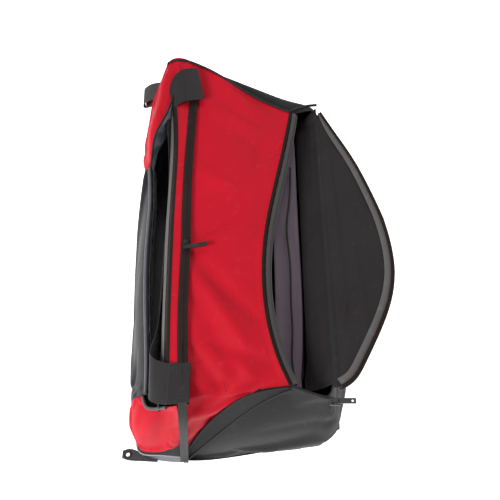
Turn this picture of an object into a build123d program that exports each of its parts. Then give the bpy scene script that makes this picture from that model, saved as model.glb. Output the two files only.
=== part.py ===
"""Hockey equipment bag with its lid open: soft walls on a stiff base, straps, zippers and rings.

Millimetres, +Z up. The origin is the middle of the base's resting face, +X runs along the bag to its
near end, and -Y is the front, where the outer pocket is. Every soft wall is a plain closed solid.
"""

import os
from math import cos, radians, sin, tan

from build123d import *

# Main compartment
BAG_LENGTH = 700.0
NEAR_X = BAG_LENGTH / 2
FAR_X = -BAG_LENGTH / 2
BODY_BACK = 163.0
BODY_FRONT = 140.0
BACK_BULGE = 3.0
TOP_HEIGHT = 230.0
TOP_SLOPE = 2.5
SHOULDER_DROP = 28.0
FRONT_DROP = 50.0
SHOULDER_INSET = 9.0
FRONT_INSET = 2.0
FLAT_FRONT_Y = -10.0
TOP_BACK_Y = 125.0
WALL = 4.0
BASE_THICKNESS = 4.0
BOARD_THICKNESS = 3.0
BOARD_MARGIN = 24.0

# How far the two slack ends lean and skew
NEAR_SKEW = 38.0
NEAR_BACK_LEAN = 14.0
NEAR_FRONT_LEAN = -28.0
FAR_BACK_LEAN = -80.0
FAR_FRONT_LEAN = 50.0
CORNER_CHAMFER = 34.0
FAR_CHAMFER = 160.0

# Mouth, measured along and across the top from the middle of its back edge
MOUTH_FAR = -250.0
MOUTH_NEAR = 324.0
MOUTH_BACK = 6.0
MOUTH_RIM = [(300.0, 68.0), (258.0, 85.0), (215.0, 97.0), (160.0, 105.0), (100.0, 107.0),
             (20.0, 101.0), (-60.0, 86.0), (-152.0, 66.0), (-250.0, 50.0)]
TAPE_WIDTH = 5.0
TAPE_THICKNESS = 1.0
TEETH_WIDTH = 1.6
TEETH_HEIGHT = 0.8
FACING_WIDTH = 9.0
FACING_THICKNESS = 1.6

# Lid, in the same measure
LID_EDGE = [(306.0, 8.0), (299.0, 22.0), (287.0, 34.0), (258.0, 50.0), (215.0, 74.0), (170.0, 94.0),
            (125.0, 104.0), (80.0, 104.5), (20.0, 98.0), (-50.0, 79.0), (-141.0, 49.0), (-240.0, 8.0)]
HINGE_OUTSET = 1.5
HINGE_RISE = 3.0
LID_HINGE_GAP = 3.5
LID_CLOSE_ANGLE = 166.0
RIM_STEPS = 40
SKIN_THICKNESS = 1.4
FOAM_THICKNESS = 2.2
LINING_THICKNESS = 1.2
LID_EDGE_BAND = 9.0

# End panels
END_BAND_WIDTH = 16.0
NEAR_SEAM_X = NEAR_X - 46

# Front zipper
FRONT_ZIP_Y = -108.0
FRONT_ZIP_SKEW = 1.5
FRONT_ZIP_FAR_X = FAR_X + 5
FRONT_ZIP_NEAR_X = NEAR_X - 28
COIL_MARGIN = 4.0
FRONT_ZIP_WIDTH = 15.0
COIL_WIDTH = 3.2
COIL_HEIGHT = 1.2

# Handles
WEBBING_WIDTH = 60.0
WEBBING_THICKNESS = 3.0
HANDLE_NEAR_X = NEAR_X - 62
HANDLE_FAR_X = FAR_X + 50
HANDLE_DROP = 52.0
HANDLE_OUT = 18.0
GRIP_WIDTH = 34.0
GRIP_THICKNESS = 9.0
GRIP_LENGTH = 130.0
PATCH_LENGTH = 42.0
PATCH_THICKNESS = 2.4
REAR_HANDLE_SPAN = 300.0
REAR_HANDLE_DROP = 88.0
REAR_WEBBING = 50.0

# Front pocket
POCKET_OUT = 64.0
POCKET_TAPER = 24.0
POCKET_NEAR_X = NEAR_X - 65
POCKET_FAR_X = FAR_X + 190
POCKET_TOP_Z = 155.0
LOBE_TOP_Z = 222.0
CREASE_Z = 196.0
CREASE_OUT = 20.0
NEAR_LOBE_TOP_Z = 140.0
POCKET_WALL = 4.0
POCKET_FACING_HEIGHT = 14.0
CORNER_PANEL_HEIGHT = 26.0
INNER_POCKET_LENGTH = 500.0
LINER = 2.2

# Sliders, pulls, rings and tabs
SLIDER_LENGTH = 15.0
SLIDER_WIDTH = 10.0
SLIDER_HEIGHT = 5.0
PIN_RADIUS = 1.3
PIN_CLEARANCE = 0.06
PULL_LENGTH = 30.0
PULL_WIDTH = 8.0
PULL_THICKNESS = 1.8
PULL_HOLE_RADIUS = 1.8
MAIN_SLIDER_Y = -4.0
RING_RADIUS = 11.0
RING_WIRE = 2.0
TAB_WIDTH = 22.0
GROMMET_HOLE_RADIUS = 3.5
GAP = 0.3

SLOPE = tan(radians(TOP_SLOPE))
BELOW_BASE = 20.0
BLOCK_LOW = -10.0
BLOCK_HIGH = 290.0
LEAN_HEIGHT = 240.0

# The top's own frame: x along the hinge line, y across the bag, z out of the top
HINGE_LINE = Plane(origin=(0, TOP_BACK_Y + 1, TOP_HEIGHT), x_dir=(1, 0, SLOPE), z_dir=(-SLOPE, 0, 1))
LID_AXIS_START = HINGE_LINE.from_local_coords(Vector(0, HINGE_OUTSET, HINGE_RISE))
LID_AXIS = Axis(LID_AXIS_START, HINGE_LINE.x_dir)


def top_z(x):
    """Height of the top's flat part at a station along the bag."""
    return TOP_HEIGHT + SLOPE * x


def body_outline(x, inset):
    """Closed cross-section of the main compartment at one station."""
    top = top_z(x)
    low = -BELOW_BASE if inset else 0
    points = [(-BODY_FRONT, low), (BODY_BACK, low), (BODY_BACK + BACK_BULGE, 110), (TOP_BACK_Y, top),
              (FLAT_FRONT_Y, top), (-BODY_FRONT + SHOULDER_INSET, top - SHOULDER_DROP),
              (-BODY_FRONT + FRONT_INSET, top - FRONT_DROP)]
    face = Plane.YZ.offset(x) * make_face(Polyline(*points, close=True))
    if inset:
        face = offset(face, amount=-inset, kind=Kind.INTERSECTION)
    return face


def pocket_outline(x, inset):
    """Closed cross-section of the front pocket, bulging out of the bag's front."""
    out = -BODY_FRONT - POCKET_OUT + POCKET_TAPER * x / BAG_LENGTH
    crease = -BODY_FRONT - CREASE_OUT
    low = -BELOW_BASE if inset else 0
    points = [(-BODY_FRONT + 10, low), (out + 14 * (60 - low) / 60, low), (out, 60), (out + 1, 120), (out + 9, 172),
              (crease - 26, LOBE_TOP_Z - 4), (crease - 10, LOBE_TOP_Z), (crease, CREASE_Z),
              (-BODY_FRONT + 10, 172)]
    face = Plane.YZ.offset(x) * make_face(Polyline(*points, close=True))
    if inset:
        face = offset(face, amount=-inset, kind=Kind.INTERSECTION)
    return face


def prism(outline, inset):
    """Cross-section carried along the whole bag, past both ends."""
    return loft([outline(FAR_X - 90, inset), outline(NEAR_X + 60, inset)], ruled=True)


def plan_outline(z, inset):
    """Plan of the bag at one height: both ends lean, and the corners are cut off."""
    share = z / LEAN_HEIGHT
    near_back = NEAR_X - 30 + NEAR_BACK_LEAN * share
    near_front = NEAR_X + NEAR_SKEW - 30 + NEAR_FRONT_LEAN * share
    far_back = FAR_X + 13 - FAR_BACK_LEAN * share
    far_front = FAR_X - 2 - FAR_FRONT_LEAN * share
    back = BODY_BACK + 13
    front = -BODY_FRONT - POCKET_OUT - 5
    cut = CORNER_CHAMFER
    points = [(near_back, back - 48), (near_back - cut, back), (far_back + cut, back),
              (far_back, back - 48), (far_front, front + 62), (far_front + 38, front + 30),
              (far_front + FAR_CHAMFER, front),
              (near_front - cut, front), (near_front, front + 47)]
    face = Plane.XY.offset(z) * make_face(Polyline(*points, close=True))
    if inset:
        face = offset(face, amount=-inset, kind=Kind.INTERSECTION)
    return face


def plan_block(inset):
    """Space between the two ends of the bag."""
    return loft([plan_outline(BLOCK_LOW, inset), plan_outline(BLOCK_HIGH, inset)], ruled=True)


def slab(low, high):
    """Box from two opposite corners."""
    size = Vector(*high) - Vector(*low)
    return Pos(*low) * Box(size.X, size.Y, size.Z, align=(Align.MIN, Align.MIN, Align.MIN))


OUTER_BODY = prism(body_outline, 0) & plan_block(0)
ABOVE_BASE = slab((-900, -400, BASE_THICKNESS), (900, 400, 500))
INNER_BODY = prism(body_outline, WALL) & plan_block(WALL) & ABOVE_BASE
OUTER_POCKET = prism(pocket_outline, 0) & plan_block(0)
INNER_POCKET = prism(pocket_outline, POCKET_WALL) & plan_block(POCKET_WALL) & ABOVE_BASE


def mouth_face():
    """Outline of the mouth: straight along the hinge and near end, curved along the rim."""
    curve = Spline(*[(s, -w) for s, w in MOUTH_RIM])
    rim = [curve @ (step / RIM_STEPS) for step in range(RIM_STEPS + 1)]
    return make_face(Polyline(*rim, (MOUTH_FAR, -MOUTH_BACK), (MOUTH_NEAR, -MOUTH_BACK), close=True))


def lid_face():
    """Outline of the lid when it lies closed in the mouth."""
    curve = Spline(*[(s, -w) for s, w in LID_EDGE])
    edge = [curve @ (step / RIM_STEPS) for step in range(RIM_STEPS + 1)]
    start = HINGE_OUTSET - LID_HINGE_GAP
    return make_face(Polyline(*edge, (LID_EDGE[-1][0], start), (LID_EDGE[0][0], start), close=True))


def inset_face(face, amount):
    """Outline moved inwards, or outwards when the amount is negative."""
    if amount == 0:
        return face
    return offset(face, amount=-amount, kind=Kind.INTERSECTION)


def front_half(margin):
    """Everything in front of a line beside the mouth's back edge."""
    return Pos(0, -100 - MOUTH_BACK + margin, 0) * Rectangle(900, 200)


def on_top(face, low, high):
    """Plate that follows the top, between two heights above it."""
    return HINGE_LINE * (Pos(0, 0, low) * extrude(face, high - low))


def solid_of(shape):
    """Largest single solid of a shape, so a boolean's crumbs are dropped."""
    return sorted(shape.solids(), key=lambda solid: solid.volume)[-1]


def mouth_cut():
    return on_top(mouth_face(), -30, 30)


def near_region(shift):
    """Where the near end is black: past the seam that climbs from the front corner and crosses the top."""
    rise = [(-108 + shift, 0), (-73 + shift, 114), (-46 + shift, 225), (-46 + shift, 280),
            (220, 280), (220, 0)]
    face = Plane.YZ.offset(NEAR_SEAM_X - 10) * make_face(Polyline(*rise, close=True))
    seam = NEAR_SEAM_X + shift
    top = [(seam + 120, -220), (seam + 28, -220), (seam + 28, -60), (seam + 6, -24), (seam - 4, 4),
           (seam, 30), (seam, 220), (seam + 120, 220)]
    return extrude(face, 160) & extrude(make_face(Polyline(*top, close=True)), 400)


def far_region():
    """Where the far end is black."""
    edge = MOUTH_FAR - TAPE_WIDTH - 1
    points = [(FAR_X - 100, 190), (edge, 190), (edge, 74), (FAR_X + 60, 28), (FAR_X + 16, -34),
              (FAR_X - 100, -34)]
    return extrude(make_face(Polyline(*points, close=True)), 400)


def corner_region():
    """Low strip of plain vinyl at the near front corner."""
    return slab((NEAR_X - 50, -240, 0), (NEAR_X + 100, -108, CORNER_PANEL_HEIGHT))


def shell():
    return (OUTER_BODY - INNER_BODY - mouth_cut()) & ABOVE_BASE


SHELL = shell()
INNER_WALL_REGION = slab((-900, -160, 0), (900, -BODY_FRONT + FRONT_INSET + WALL, TOP_HEIGHT - 70))


def base_panel():
    return solid_of((OUTER_BODY + OUTER_POCKET) & slab((-900, -400, 0), (900, 400, BASE_THICKNESS)))


def base_board():
    """Loose stiff board that lies on the floor of the main compartment."""
    low = (FAR_X + BOARD_MARGIN + 18, -BODY_FRONT + BOARD_MARGIN / 2, BASE_THICKNESS)
    high = (NEAR_X - BOARD_MARGIN - 32, BODY_BACK - BOARD_MARGIN / 2, BASE_THICKNESS + BOARD_THICKNESS)
    return slab(low, high)


def near_end_panel():
    return solid_of(SHELL & near_region(END_BAND_WIDTH))


def near_end_band():
    """Darker band beside the near end's seam."""
    return solid_of((SHELL & near_region(0)) - near_region(END_BAND_WIDTH))


def far_end_panel():
    return solid_of(SHELL & far_region())


def back_panel():
    back = SHELL & slab((-900, TOP_BACK_Y - 5, 0), (900, 400, 500))
    return solid_of(back - near_region(0) - far_region())


def front_panel():
    """Red panel: the top in front of the mouth, down over both front corners."""
    rest = SHELL - slab((-900, TOP_BACK_Y - 5, 0), (900, 400, 500)) - near_region(0) - far_region()
    return solid_of(rest - INNER_WALL_REGION - corner_region())


def front_inner_wall():
    return solid_of(SHELL & INNER_WALL_REGION)


def pocket_shell():
    return (OUTER_POCKET - INNER_POCKET - OUTER_BODY) & ABOVE_BASE


POCKET_SHELL = pocket_shell()


def front_lobe_far():
    return solid_of(POCKET_SHELL & slab((-900, -400, 0), (POCKET_FAR_X, 400, 500)))


def front_lobe_near():
    lobe = POCKET_SHELL & slab((POCKET_NEAR_X, -400, 0), (900, 400, NEAR_LOBE_TOP_Z))
    return solid_of(lobe - corner_region())


def lower_corner_panel():
    """Plain vinyl corner that the base turns up into, at the near front."""
    inside = (SHELL & corner_region()) - INNER_WALL_REGION - near_region(0)
    return solid_of((POCKET_SHELL & corner_region()) + inside)


def pocket_panel():
    """Black outer wall of the front pocket."""
    wall = POCKET_SHELL & slab((POCKET_FAR_X, -400, 0), (POCKET_NEAR_X, 400, POCKET_TOP_Z))
    return solid_of(wall)


def pocket_facing():
    """Facing sewn inside the top edge of the pocket's outer wall."""
    deeper = Pos(0, FACING_THICKNESS, 0) * INNER_POCKET
    top = POCKET_TOP_Z
    zone = slab((POCKET_FAR_X + 4, -400, top - POCKET_FACING_HEIGHT), (POCKET_NEAR_X - 4, -170, top))
    return solid_of((INNER_POCKET - deeper) & zone)


def pocket_binding():
    """Rolled edge along the top of the pocket's outer wall."""
    rim = POCKET_SHELL & slab((POCKET_FAR_X, -400, POCKET_TOP_Z), (POCKET_NEAR_X, -170, POCKET_TOP_Z + 3))
    return solid_of(rim)


def mouth_tape():
    face = mouth_face()
    band = inset_face(face, -TAPE_WIDTH) - face
    return solid_of(on_top(band & front_half(0), 0, TAPE_THICKNESS))


def mouth_teeth():
    face = mouth_face()
    band = inset_face(face, -TEETH_WIDTH) - face
    return solid_of(on_top(band & front_half(0), TAPE_THICKNESS, TAPE_THICKNESS + TEETH_HEIGHT))


def mouth_facing():
    face = mouth_face()
    band = face - inset_face(face, FACING_WIDTH)
    return solid_of(on_top(band & front_half(-FACING_WIDTH), -WALL, -WALL + FACING_THICKNESS))


def inner_pocket():
    """Slack pocket that hangs inside the back wall."""
    drop = [(20, -6), (-34, -42), (-38, -80), (-20, -140), (60, -154)]
    shifts = [(1, -1), (1, -0.6), (1, 0), (1, 1), (0, 1)]
    inner = [(y + dy * LINER, z + dz * LINER) for (y, z), (dy, dz) in zip(drop, shifts)]
    face = make_face(Polyline(*drop, *reversed(inner), close=True))
    start = Plane(origin=(-INNER_POCKET_LENGTH / 2 + 25, TOP_BACK_Y, TOP_HEIGHT - 9), x_dir=(0, 1, 0),
                  z_dir=(1, 0, 0))
    return solid_of(extrude(start * face, INNER_POCKET_LENGTH) & INNER_BODY)


def lid_layer(outset, low, high):
    """One layer of the lid, laid closed and then swung open."""
    face = inset_face(lid_face(), outset)
    plate = on_top(face, HINGE_RISE + low, HINGE_RISE + high)
    return plate.rotate(LID_AXIS, -LID_CLOSE_ANGLE)


LID_HALF = (SKIN_THICKNESS + FOAM_THICKNESS + LINING_THICKNESS) / 2


def lid_skin():
    return solid_of(lid_layer(0, LID_HALF - SKIN_THICKNESS, LID_HALF))


def lid_foam():
    return solid_of(lid_layer(TAPE_WIDTH / 2, -LID_HALF + LINING_THICKNESS, LID_HALF - SKIN_THICKNESS))


def lid_lining():
    return solid_of(lid_layer(TAPE_WIDTH + LID_EDGE_BAND, -LID_HALF, -LID_HALF + LINING_THICKNESS))


def lid_ring(outer, inner, low, high):
    """Band round the lid's free edge, between two distances in from it."""
    band = (inset_face(lid_face(), outer) - inset_face(lid_face(), inner)) & front_half(3)
    plate = on_top(band, HINGE_RISE + low, HINGE_RISE + high)
    return solid_of(plate.rotate(LID_AXIS, -LID_CLOSE_ANGLE))


def lid_facing():
    return lid_ring(TAPE_WIDTH, TAPE_WIDTH + LID_EDGE_BAND, -LID_HALF, -LID_HALF + LINING_THICKNESS)


def lid_tape():
    return lid_ring(0, TAPE_WIDTH, -LID_HALF, -LID_HALF + LINING_THICKNESS)


def front_frame():
    """Frame of the sloping shoulder: x along the zipper, y across it, z out of it."""
    rise = SHOULDER_DROP
    run = BODY_FRONT - SHOULDER_INSET + FLAT_FRONT_Y
    y = FRONT_ZIP_Y
    z = TOP_HEIGHT - rise * (FLAT_FRONT_Y - y) / run
    across = Vector(0, run, rise).normalized()
    along = Vector(1, 0, SLOPE).normalized()
    level = Plane(origin=(0, y, z), x_dir=along, z_dir=along.cross(across))
    skew = radians(FRONT_ZIP_SKEW)
    direction = level.x_dir * cos(skew) + level.y_dir * sin(skew)
    return Plane(origin=level.origin, x_dir=direction, z_dir=level.z_dir)


FRONT = front_frame()


def on_front(low, high):
    return FRONT * slab(low, high)


def front_zip_tape():
    half = FRONT_ZIP_WIDTH / 2
    return on_front((FRONT_ZIP_FAR_X, -half, 0), (FRONT_ZIP_NEAR_X, half, TAPE_THICKNESS))


def front_zip_coil():
    half = COIL_WIDTH / 2
    low = (FRONT_ZIP_FAR_X + COIL_MARGIN, -half, TAPE_THICKNESS)
    return on_front(low, (FRONT_ZIP_NEAR_X - COIL_MARGIN, half, TAPE_THICKNESS + COIL_HEIGHT))


def slider_body(bottom):
    """Zipper slider with a bridge over a cross hole, standing on the plane z = bottom."""
    half = SLIDER_WIDTH / 2
    plate = slab((-SLIDER_LENGTH / 2, -half, bottom), (SLIDER_LENGTH / 2, half, bottom + SLIDER_HEIGHT - 2))
    post = slab((-4, -2.5, bottom + SLIDER_HEIGHT - 2), (4, 2.5, bottom + SLIDER_HEIGHT + 4))
    hole = Pos(0, 0, bottom + SLIDER_HEIGHT + 1) * Rot(90, 0, 0) * Cylinder(PIN_RADIUS + PIN_CLEARANCE, 20)
    return plate + post - hole


def slider_pull(bottom):
    """Pull tab whose pin turns in the slider's bridge and whose tongue lies along +X."""
    z = bottom + SLIDER_HEIGHT + 1
    pin = Pos(0, 0, z) * Rot(90, 0, 0) * Cylinder(PIN_RADIUS, PULL_WIDTH)
    arm = slab((-PIN_RADIUS, 2.9, z - PULL_THICKNESS / 2), (9, PULL_WIDTH / 2, z + PULL_THICKNESS / 2))
    other = mirror(arm, about=Plane.XZ)
    low = (6, -PULL_WIDTH / 2, z - PULL_THICKNESS / 2)
    tongue = slab(low, (PULL_LENGTH, PULL_WIDTH / 2, z + PULL_THICKNESS / 2))
    hole = Pos(PULL_LENGTH - 5, 0, z) * Cylinder(PULL_HOLE_RADIUS, 10)
    return pin + arm + other + tongue - hole


FRONT_SLIDER_X = 42.0
FRONT_SLIDER_LIFT = TAPE_THICKNESS + COIL_HEIGHT + GAP
MAIN_SLIDER_LIFT = TAPE_THICKNESS + TEETH_HEIGHT + GAP
LINK_REACH = 10.0
FRONT_PIN_Z = FRONT_SLIDER_LIFT + SLIDER_HEIGHT + 1


def front_slider():
    return FRONT * (Pos(FRONT_SLIDER_X, 0, 0) * slider_body(FRONT_SLIDER_LIFT))


def front_link():
    """Short link: its pin turns in the slider's bridge, and the tab's stud turns in its eye."""
    thick = PULL_THICKNESS / 2
    pin = Rot(90, 0, 0) * Cylinder(PIN_RADIUS, PULL_WIDTH)
    arm = slab((-PIN_RADIUS, 2.9, -thick), (7, PULL_WIDTH / 2, thick))
    eye = slab((5.2, -PULL_WIDTH / 2, -thick), (LINK_REACH + 4, PULL_WIDTH / 2, thick))
    hole = Pos(LINK_REACH, 0, 0) * Cylinder(PIN_RADIUS + PIN_CLEARANCE, 10)
    link = pin + arm + mirror(arm, about=Plane.XZ) + eye - hole
    return FRONT * (Pos(FRONT_SLIDER_X, 0, FRONT_PIN_Z) * link)


def front_pull():
    """Tab on a stud in the link's eye, lying across the bag towards the mouth."""
    thick = PULL_THICKNESS / 2
    low = thick + 0.2
    stud = Cylinder(PIN_RADIUS, 2 * low) + Pos(0, 0, -low - 0.4) * Cylinder(PIN_RADIUS + 0.9, 0.8)
    tongue = slab((-PULL_WIDTH / 2, -PIN_RADIUS - 1.2, low), (PULL_WIDTH / 2, PULL_LENGTH + 8, low + 1.6))
    hole = Pos(0, PULL_LENGTH + 2, low) * Cylinder(PULL_HOLE_RADIUS, 10)
    return FRONT * (Pos(FRONT_SLIDER_X + LINK_REACH, 0, FRONT_PIN_Z) * (stud + tongue - hole))


def main_slider_place():
    """The main slider's seat on the near end of the mouth."""
    run_x = MOUTH_RIM[0][0] - MOUTH_NEAR
    run_y = -MOUTH_RIM[0][1] + MOUTH_BACK
    share = (MOUTH_BACK + MAIN_SLIDER_Y) / run_y
    x = MOUTH_NEAR + run_x * share + TEETH_WIDTH
    return Pos(x, MAIN_SLIDER_Y, 0)


def main_slider():
    return HINGE_LINE * (main_slider_place() * Rot(0, 0, 90) * slider_body(MAIN_SLIDER_LIFT))


def main_pull():
    """The pull points out over the back edge."""
    return HINGE_LINE * (main_slider_place() * Rot(0, 0, 90) * slider_pull(MAIN_SLIDER_LIFT))


def handle_patch(x):
    """Webbing end sewn flat over the zipper tape, as far as the shoulder's edge."""
    face = Pos(x, -BODY_FRONT + SHOULDER_INSET + PATCH_LENGTH / 2) * Rectangle(WEBBING_WIDTH, PATCH_LENGTH)
    column = extrude(face, 400)
    bottom = TAPE_THICKNESS + COIL_HEIGHT
    return solid_of(column & on_front((-500, -100, bottom), (500, 100, bottom + PATCH_THICKNESS)))


HANDLE_Y = -BODY_FRONT - TOP_BACK_Y - 1 + SHOULDER_INSET - 5
HANDLE_Z = -SHOULDER_DROP + 6


def front_handle():
    """Webbing loop from the two sewn ends, its middle dropped into the open front pocket."""
    t = WEBBING_THICKNESS
    half = WEBBING_WIDTH / 2
    out = HANDLE_Y - HANDLE_OUT
    near = slab((HANDLE_NEAR_X - half, out, HANDLE_Z), (HANDLE_NEAR_X + half, HANDLE_Y, HANDLE_Z + t))
    far = slab((HANDLE_FAR_X - half, out, HANDLE_Z), (HANDLE_FAR_X + half, HANDLE_Y, HANDLE_Z + t))
    grip_z = HANDLE_Z - HANDLE_DROP
    g = GRIP_WIDTH / 2
    far_x, near_x = HANDLE_FAR_X + 280, HANDLE_NEAR_X - 123
    strap = [(HANDLE_FAR_X - half, HANDLE_Z + 28), (far_x - 165, HANDLE_Z + 28), (far_x - 75, HANDLE_Z - 20),
             (far_x, grip_z + g), (near_x, grip_z + g), (near_x + 60, HANDLE_Z - 26),
             (HANDLE_NEAR_X - half, HANDLE_Z + t), (HANDLE_NEAR_X + half, HANDLE_Z + t),
             (HANDLE_NEAR_X + half - 34, HANDLE_Z - 30), (near_x + 70, grip_z), (near_x, grip_z - g),
             (far_x, grip_z - g), (far_x - 85, grip_z + 6), (far_x - 132, HANDLE_Z - 2),
             (HANDLE_FAR_X - half, HANDLE_Z)]
    wall = Plane(origin=(0, out, 0), x_dir=(1, 0, 0), z_dir=(0, -1, 0))
    band = extrude(wall * make_face(Polyline(*strap, close=True)), -t)
    middle = (far_x + near_x) / 2
    grip = Pos(middle, out + t / 2, grip_z) * Box(GRIP_LENGTH, GRIP_THICKNESS, GRIP_WIDTH + 2)
    return HINGE_LINE * solid_of(near + far + band + grip)


def back_slope_frame():
    """Frame of the back wall's upper part: x along the bag, y up the wall, z out of it."""
    start = Vector(0, BODY_BACK + BACK_BULGE, 110)
    up = (Vector(0, TOP_BACK_Y, TOP_HEIGHT) - start).normalized()
    along = Vector(-1, 0, 0)
    return Plane(origin=start, x_dir=along, z_dir=along.cross(up))


BACK = back_slope_frame()
REAR_HINGE = (0, BODY_BACK + BACK_BULGE + 3.5, 110)


def rear_patch(x):
    """Webbing end sewn on the back wall, just above its widest line."""
    half = REAR_WEBBING / 2
    patch = BACK * slab((x - half, 2, -4), (x + half, 2 + PATCH_LENGTH, PATCH_THICKNESS))
    return solid_of(patch - OUTER_BODY)


def rear_handle():
    """Webbing loop that hangs straight down from the back wall's widest line."""
    half = REAR_WEBBING / 2
    side = REAR_HANDLE_SPAN / 2
    outer = [(-side - half, 0), (-side - half, -REAR_HANDLE_DROP), (side + half, -REAR_HANDLE_DROP),
             (side + half, 0)]
    low = -REAR_HANDLE_DROP + REAR_WEBBING
    inner = [(side - half, 0), (side - half, low), (-side + half, low), (-side + half, 0)]
    face = make_face(Polyline(*outer, *inner, close=True))
    frame = Plane(origin=REAR_HINGE, x_dir=(-1, 0, 0), z_dir=(0, 1, 0))
    return extrude(frame * face, WEBBING_THICKNESS / 2, both=True)


def corner_strap():
    """Narrow strap from the end of the front zipper down to the base."""
    half = 7
    band = [(NEAR_X - 50, 0), (NEAR_X + 26, 0), (NEAR_X + 2, 208), (NEAR_X - 20, 214), (NEAR_X - 50, 206)]
    face = Plane.XZ.offset(-FRONT_ZIP_Y - half) * make_face(Polyline(*band, close=True))
    solid = extrude(face, 2 * half)
    thicker = Pos(2.2, 0, 0) * OUTER_BODY
    return solid_of((solid & thicker & ABOVE_BASE) - OUTER_BODY)


def corner_rivet():
    centre = (NEAR_X + 8, -112, 13)
    rivet = Pos(*centre) * Rot(0, 90, 0) * Cylinder(4.5, 14)
    return solid_of((rivet & (Pos(4, 0, 0) * OUTER_BODY)) - (Pos(2.2, 0, 0) * OUTER_BODY) - OUTER_BODY)


RING_TAB_X = FAR_X + 12
RING_TAB_Z = 160.0
RING_Y = -BODY_FRONT - POCKET_OUT - 9


def ring_tab():
    """Webbing loop sewn to the far lobe, folded round the ring."""
    plate = slab((RING_TAB_X - TAB_WIDTH / 2, RING_Y + 1, RING_TAB_Z - 2.5),
                 (RING_TAB_X + TAB_WIDTH / 2, RING_Y + 70, RING_TAB_Z + 2.5))
    eye = Pos(RING_TAB_X, RING_Y, RING_TAB_Z) * Rot(0, 90, 0)
    loop = eye * Cylinder(RING_WIRE + 2.6, TAB_WIDTH) + plate
    whole = loop - eye * Cylinder(RING_WIRE + 0.3, TAB_WIDTH + 2) - OUTER_POCKET
    return sorted(whole.solids(), key=lambda solid: solid.center().Y)[0]


def far_ring():
    """D ring whose straight side runs through the tab, hanging down."""
    y = RING_Y
    width = TAB_WIDTH / 2 + RING_WIRE + 1
    path = Polyline((-width, 0), (width, 0)) + ThreePointArc((width, 0), (0, -RING_RADIUS - 6), (-width, 0))
    frame = Plane(origin=(RING_TAB_X, y, RING_TAB_Z), x_dir=(1, 0, 0), z_dir=(0, -1, 0))
    wire = frame * path
    bar = Pos(RING_TAB_X, y, RING_TAB_Z) * Rot(0, 90, 0) * Cylinder(RING_WIRE, 2 * width)
    arc = wire.edges()[1]
    bow = sweep(Plane(arc @ 0, z_dir=arc % 0) * Circle(RING_WIRE), path=arc)
    ends = [Pos(RING_TAB_X + side * width, y, RING_TAB_Z) * Sphere(RING_WIRE) for side in (-1, 1)]
    return bar + bow + ends[0] + ends[1]


TAB_X = NEAR_X + 10


def corner_tab():
    """Webbing tab with a hole, sewn in at the near front corner of the base."""
    y = -BODY_FRONT - POCKET_OUT + 17
    plate = slab((TAB_X - 26, y - 34, 1), (TAB_X - 4, y + 20, 4))
    hole = Pos(TAB_X - 15, y - 26, 2) * Cylinder(GROMMET_HOLE_RADIUS + 1.5, 20)
    return solid_of(plate - hole - OUTER_POCKET)


def tab_grommet():
    y = -BODY_FRONT - POCKET_OUT + 17
    ring = Cylinder(GROMMET_HOLE_RADIUS + 1.5, 3) + Pos(0, 0, 1.9) * Cylinder(GROMMET_HOLE_RADIUS + 3, 0.8)
    return Pos(TAB_X - 15, y - 26, 2.5) * (ring - Cylinder(GROMMET_HOLE_RADIUS, 20))


PARTS = {
    "base_panel": base_panel, "base_board": base_board, "near_end_panel": near_end_panel,
    "near_end_band": near_end_band, "far_end_panel": far_end_panel, "back_panel": back_panel,
    "front_panel": front_panel, "front_inner_wall": front_inner_wall, "front_lobe_far": front_lobe_far,
    "front_lobe_near": front_lobe_near, "lower_corner_panel": lower_corner_panel,
    "pocket_panel": pocket_panel, "pocket_facing": pocket_facing, "pocket_binding": pocket_binding,
    "mouth_tape": mouth_tape, "mouth_teeth": mouth_teeth, "mouth_facing": mouth_facing,
    "inner_pocket": inner_pocket, "lid_skin": lid_skin, "lid_foam": lid_foam, "lid_lining": lid_lining,
    "lid_facing": lid_facing, "lid_tape": lid_tape, "front_zip_tape": front_zip_tape,
    "front_zip_coil": front_zip_coil, "front_slider": front_slider, "front_link": front_link,
    "front_pull": front_pull, "main_slider": main_slider, "main_pull": main_pull,
    "front_handle": front_handle,
    "rear_handle": rear_handle, "corner_strap": corner_strap, "corner_rivet": corner_rivet,
    "ring_tab": ring_tab, "far_ring": far_ring, "corner_tab": corner_tab, "tab_grommet": tab_grommet,
}

os.makedirs("parts", exist_ok=True)
for name, make in PARTS.items():
    export_step(make(), f"parts/{name}.step")
for end, x in (("near", HANDLE_NEAR_X), ("far", HANDLE_FAR_X)):
    export_step(handle_patch(x), f"parts/front_patch_{end}.step")
for end, x in (("near", -REAR_HANDLE_SPAN / 2), ("far", REAR_HANDLE_SPAN / 2)):
    export_step(rear_patch(x), f"parts/rear_patch_{end}.step")
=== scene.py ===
"""Looks of the open hockey equipment bag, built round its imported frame.

Cages are in millimetres: x runs along the bag to its near end, -y is the front, z is up.
"""

import math

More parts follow.
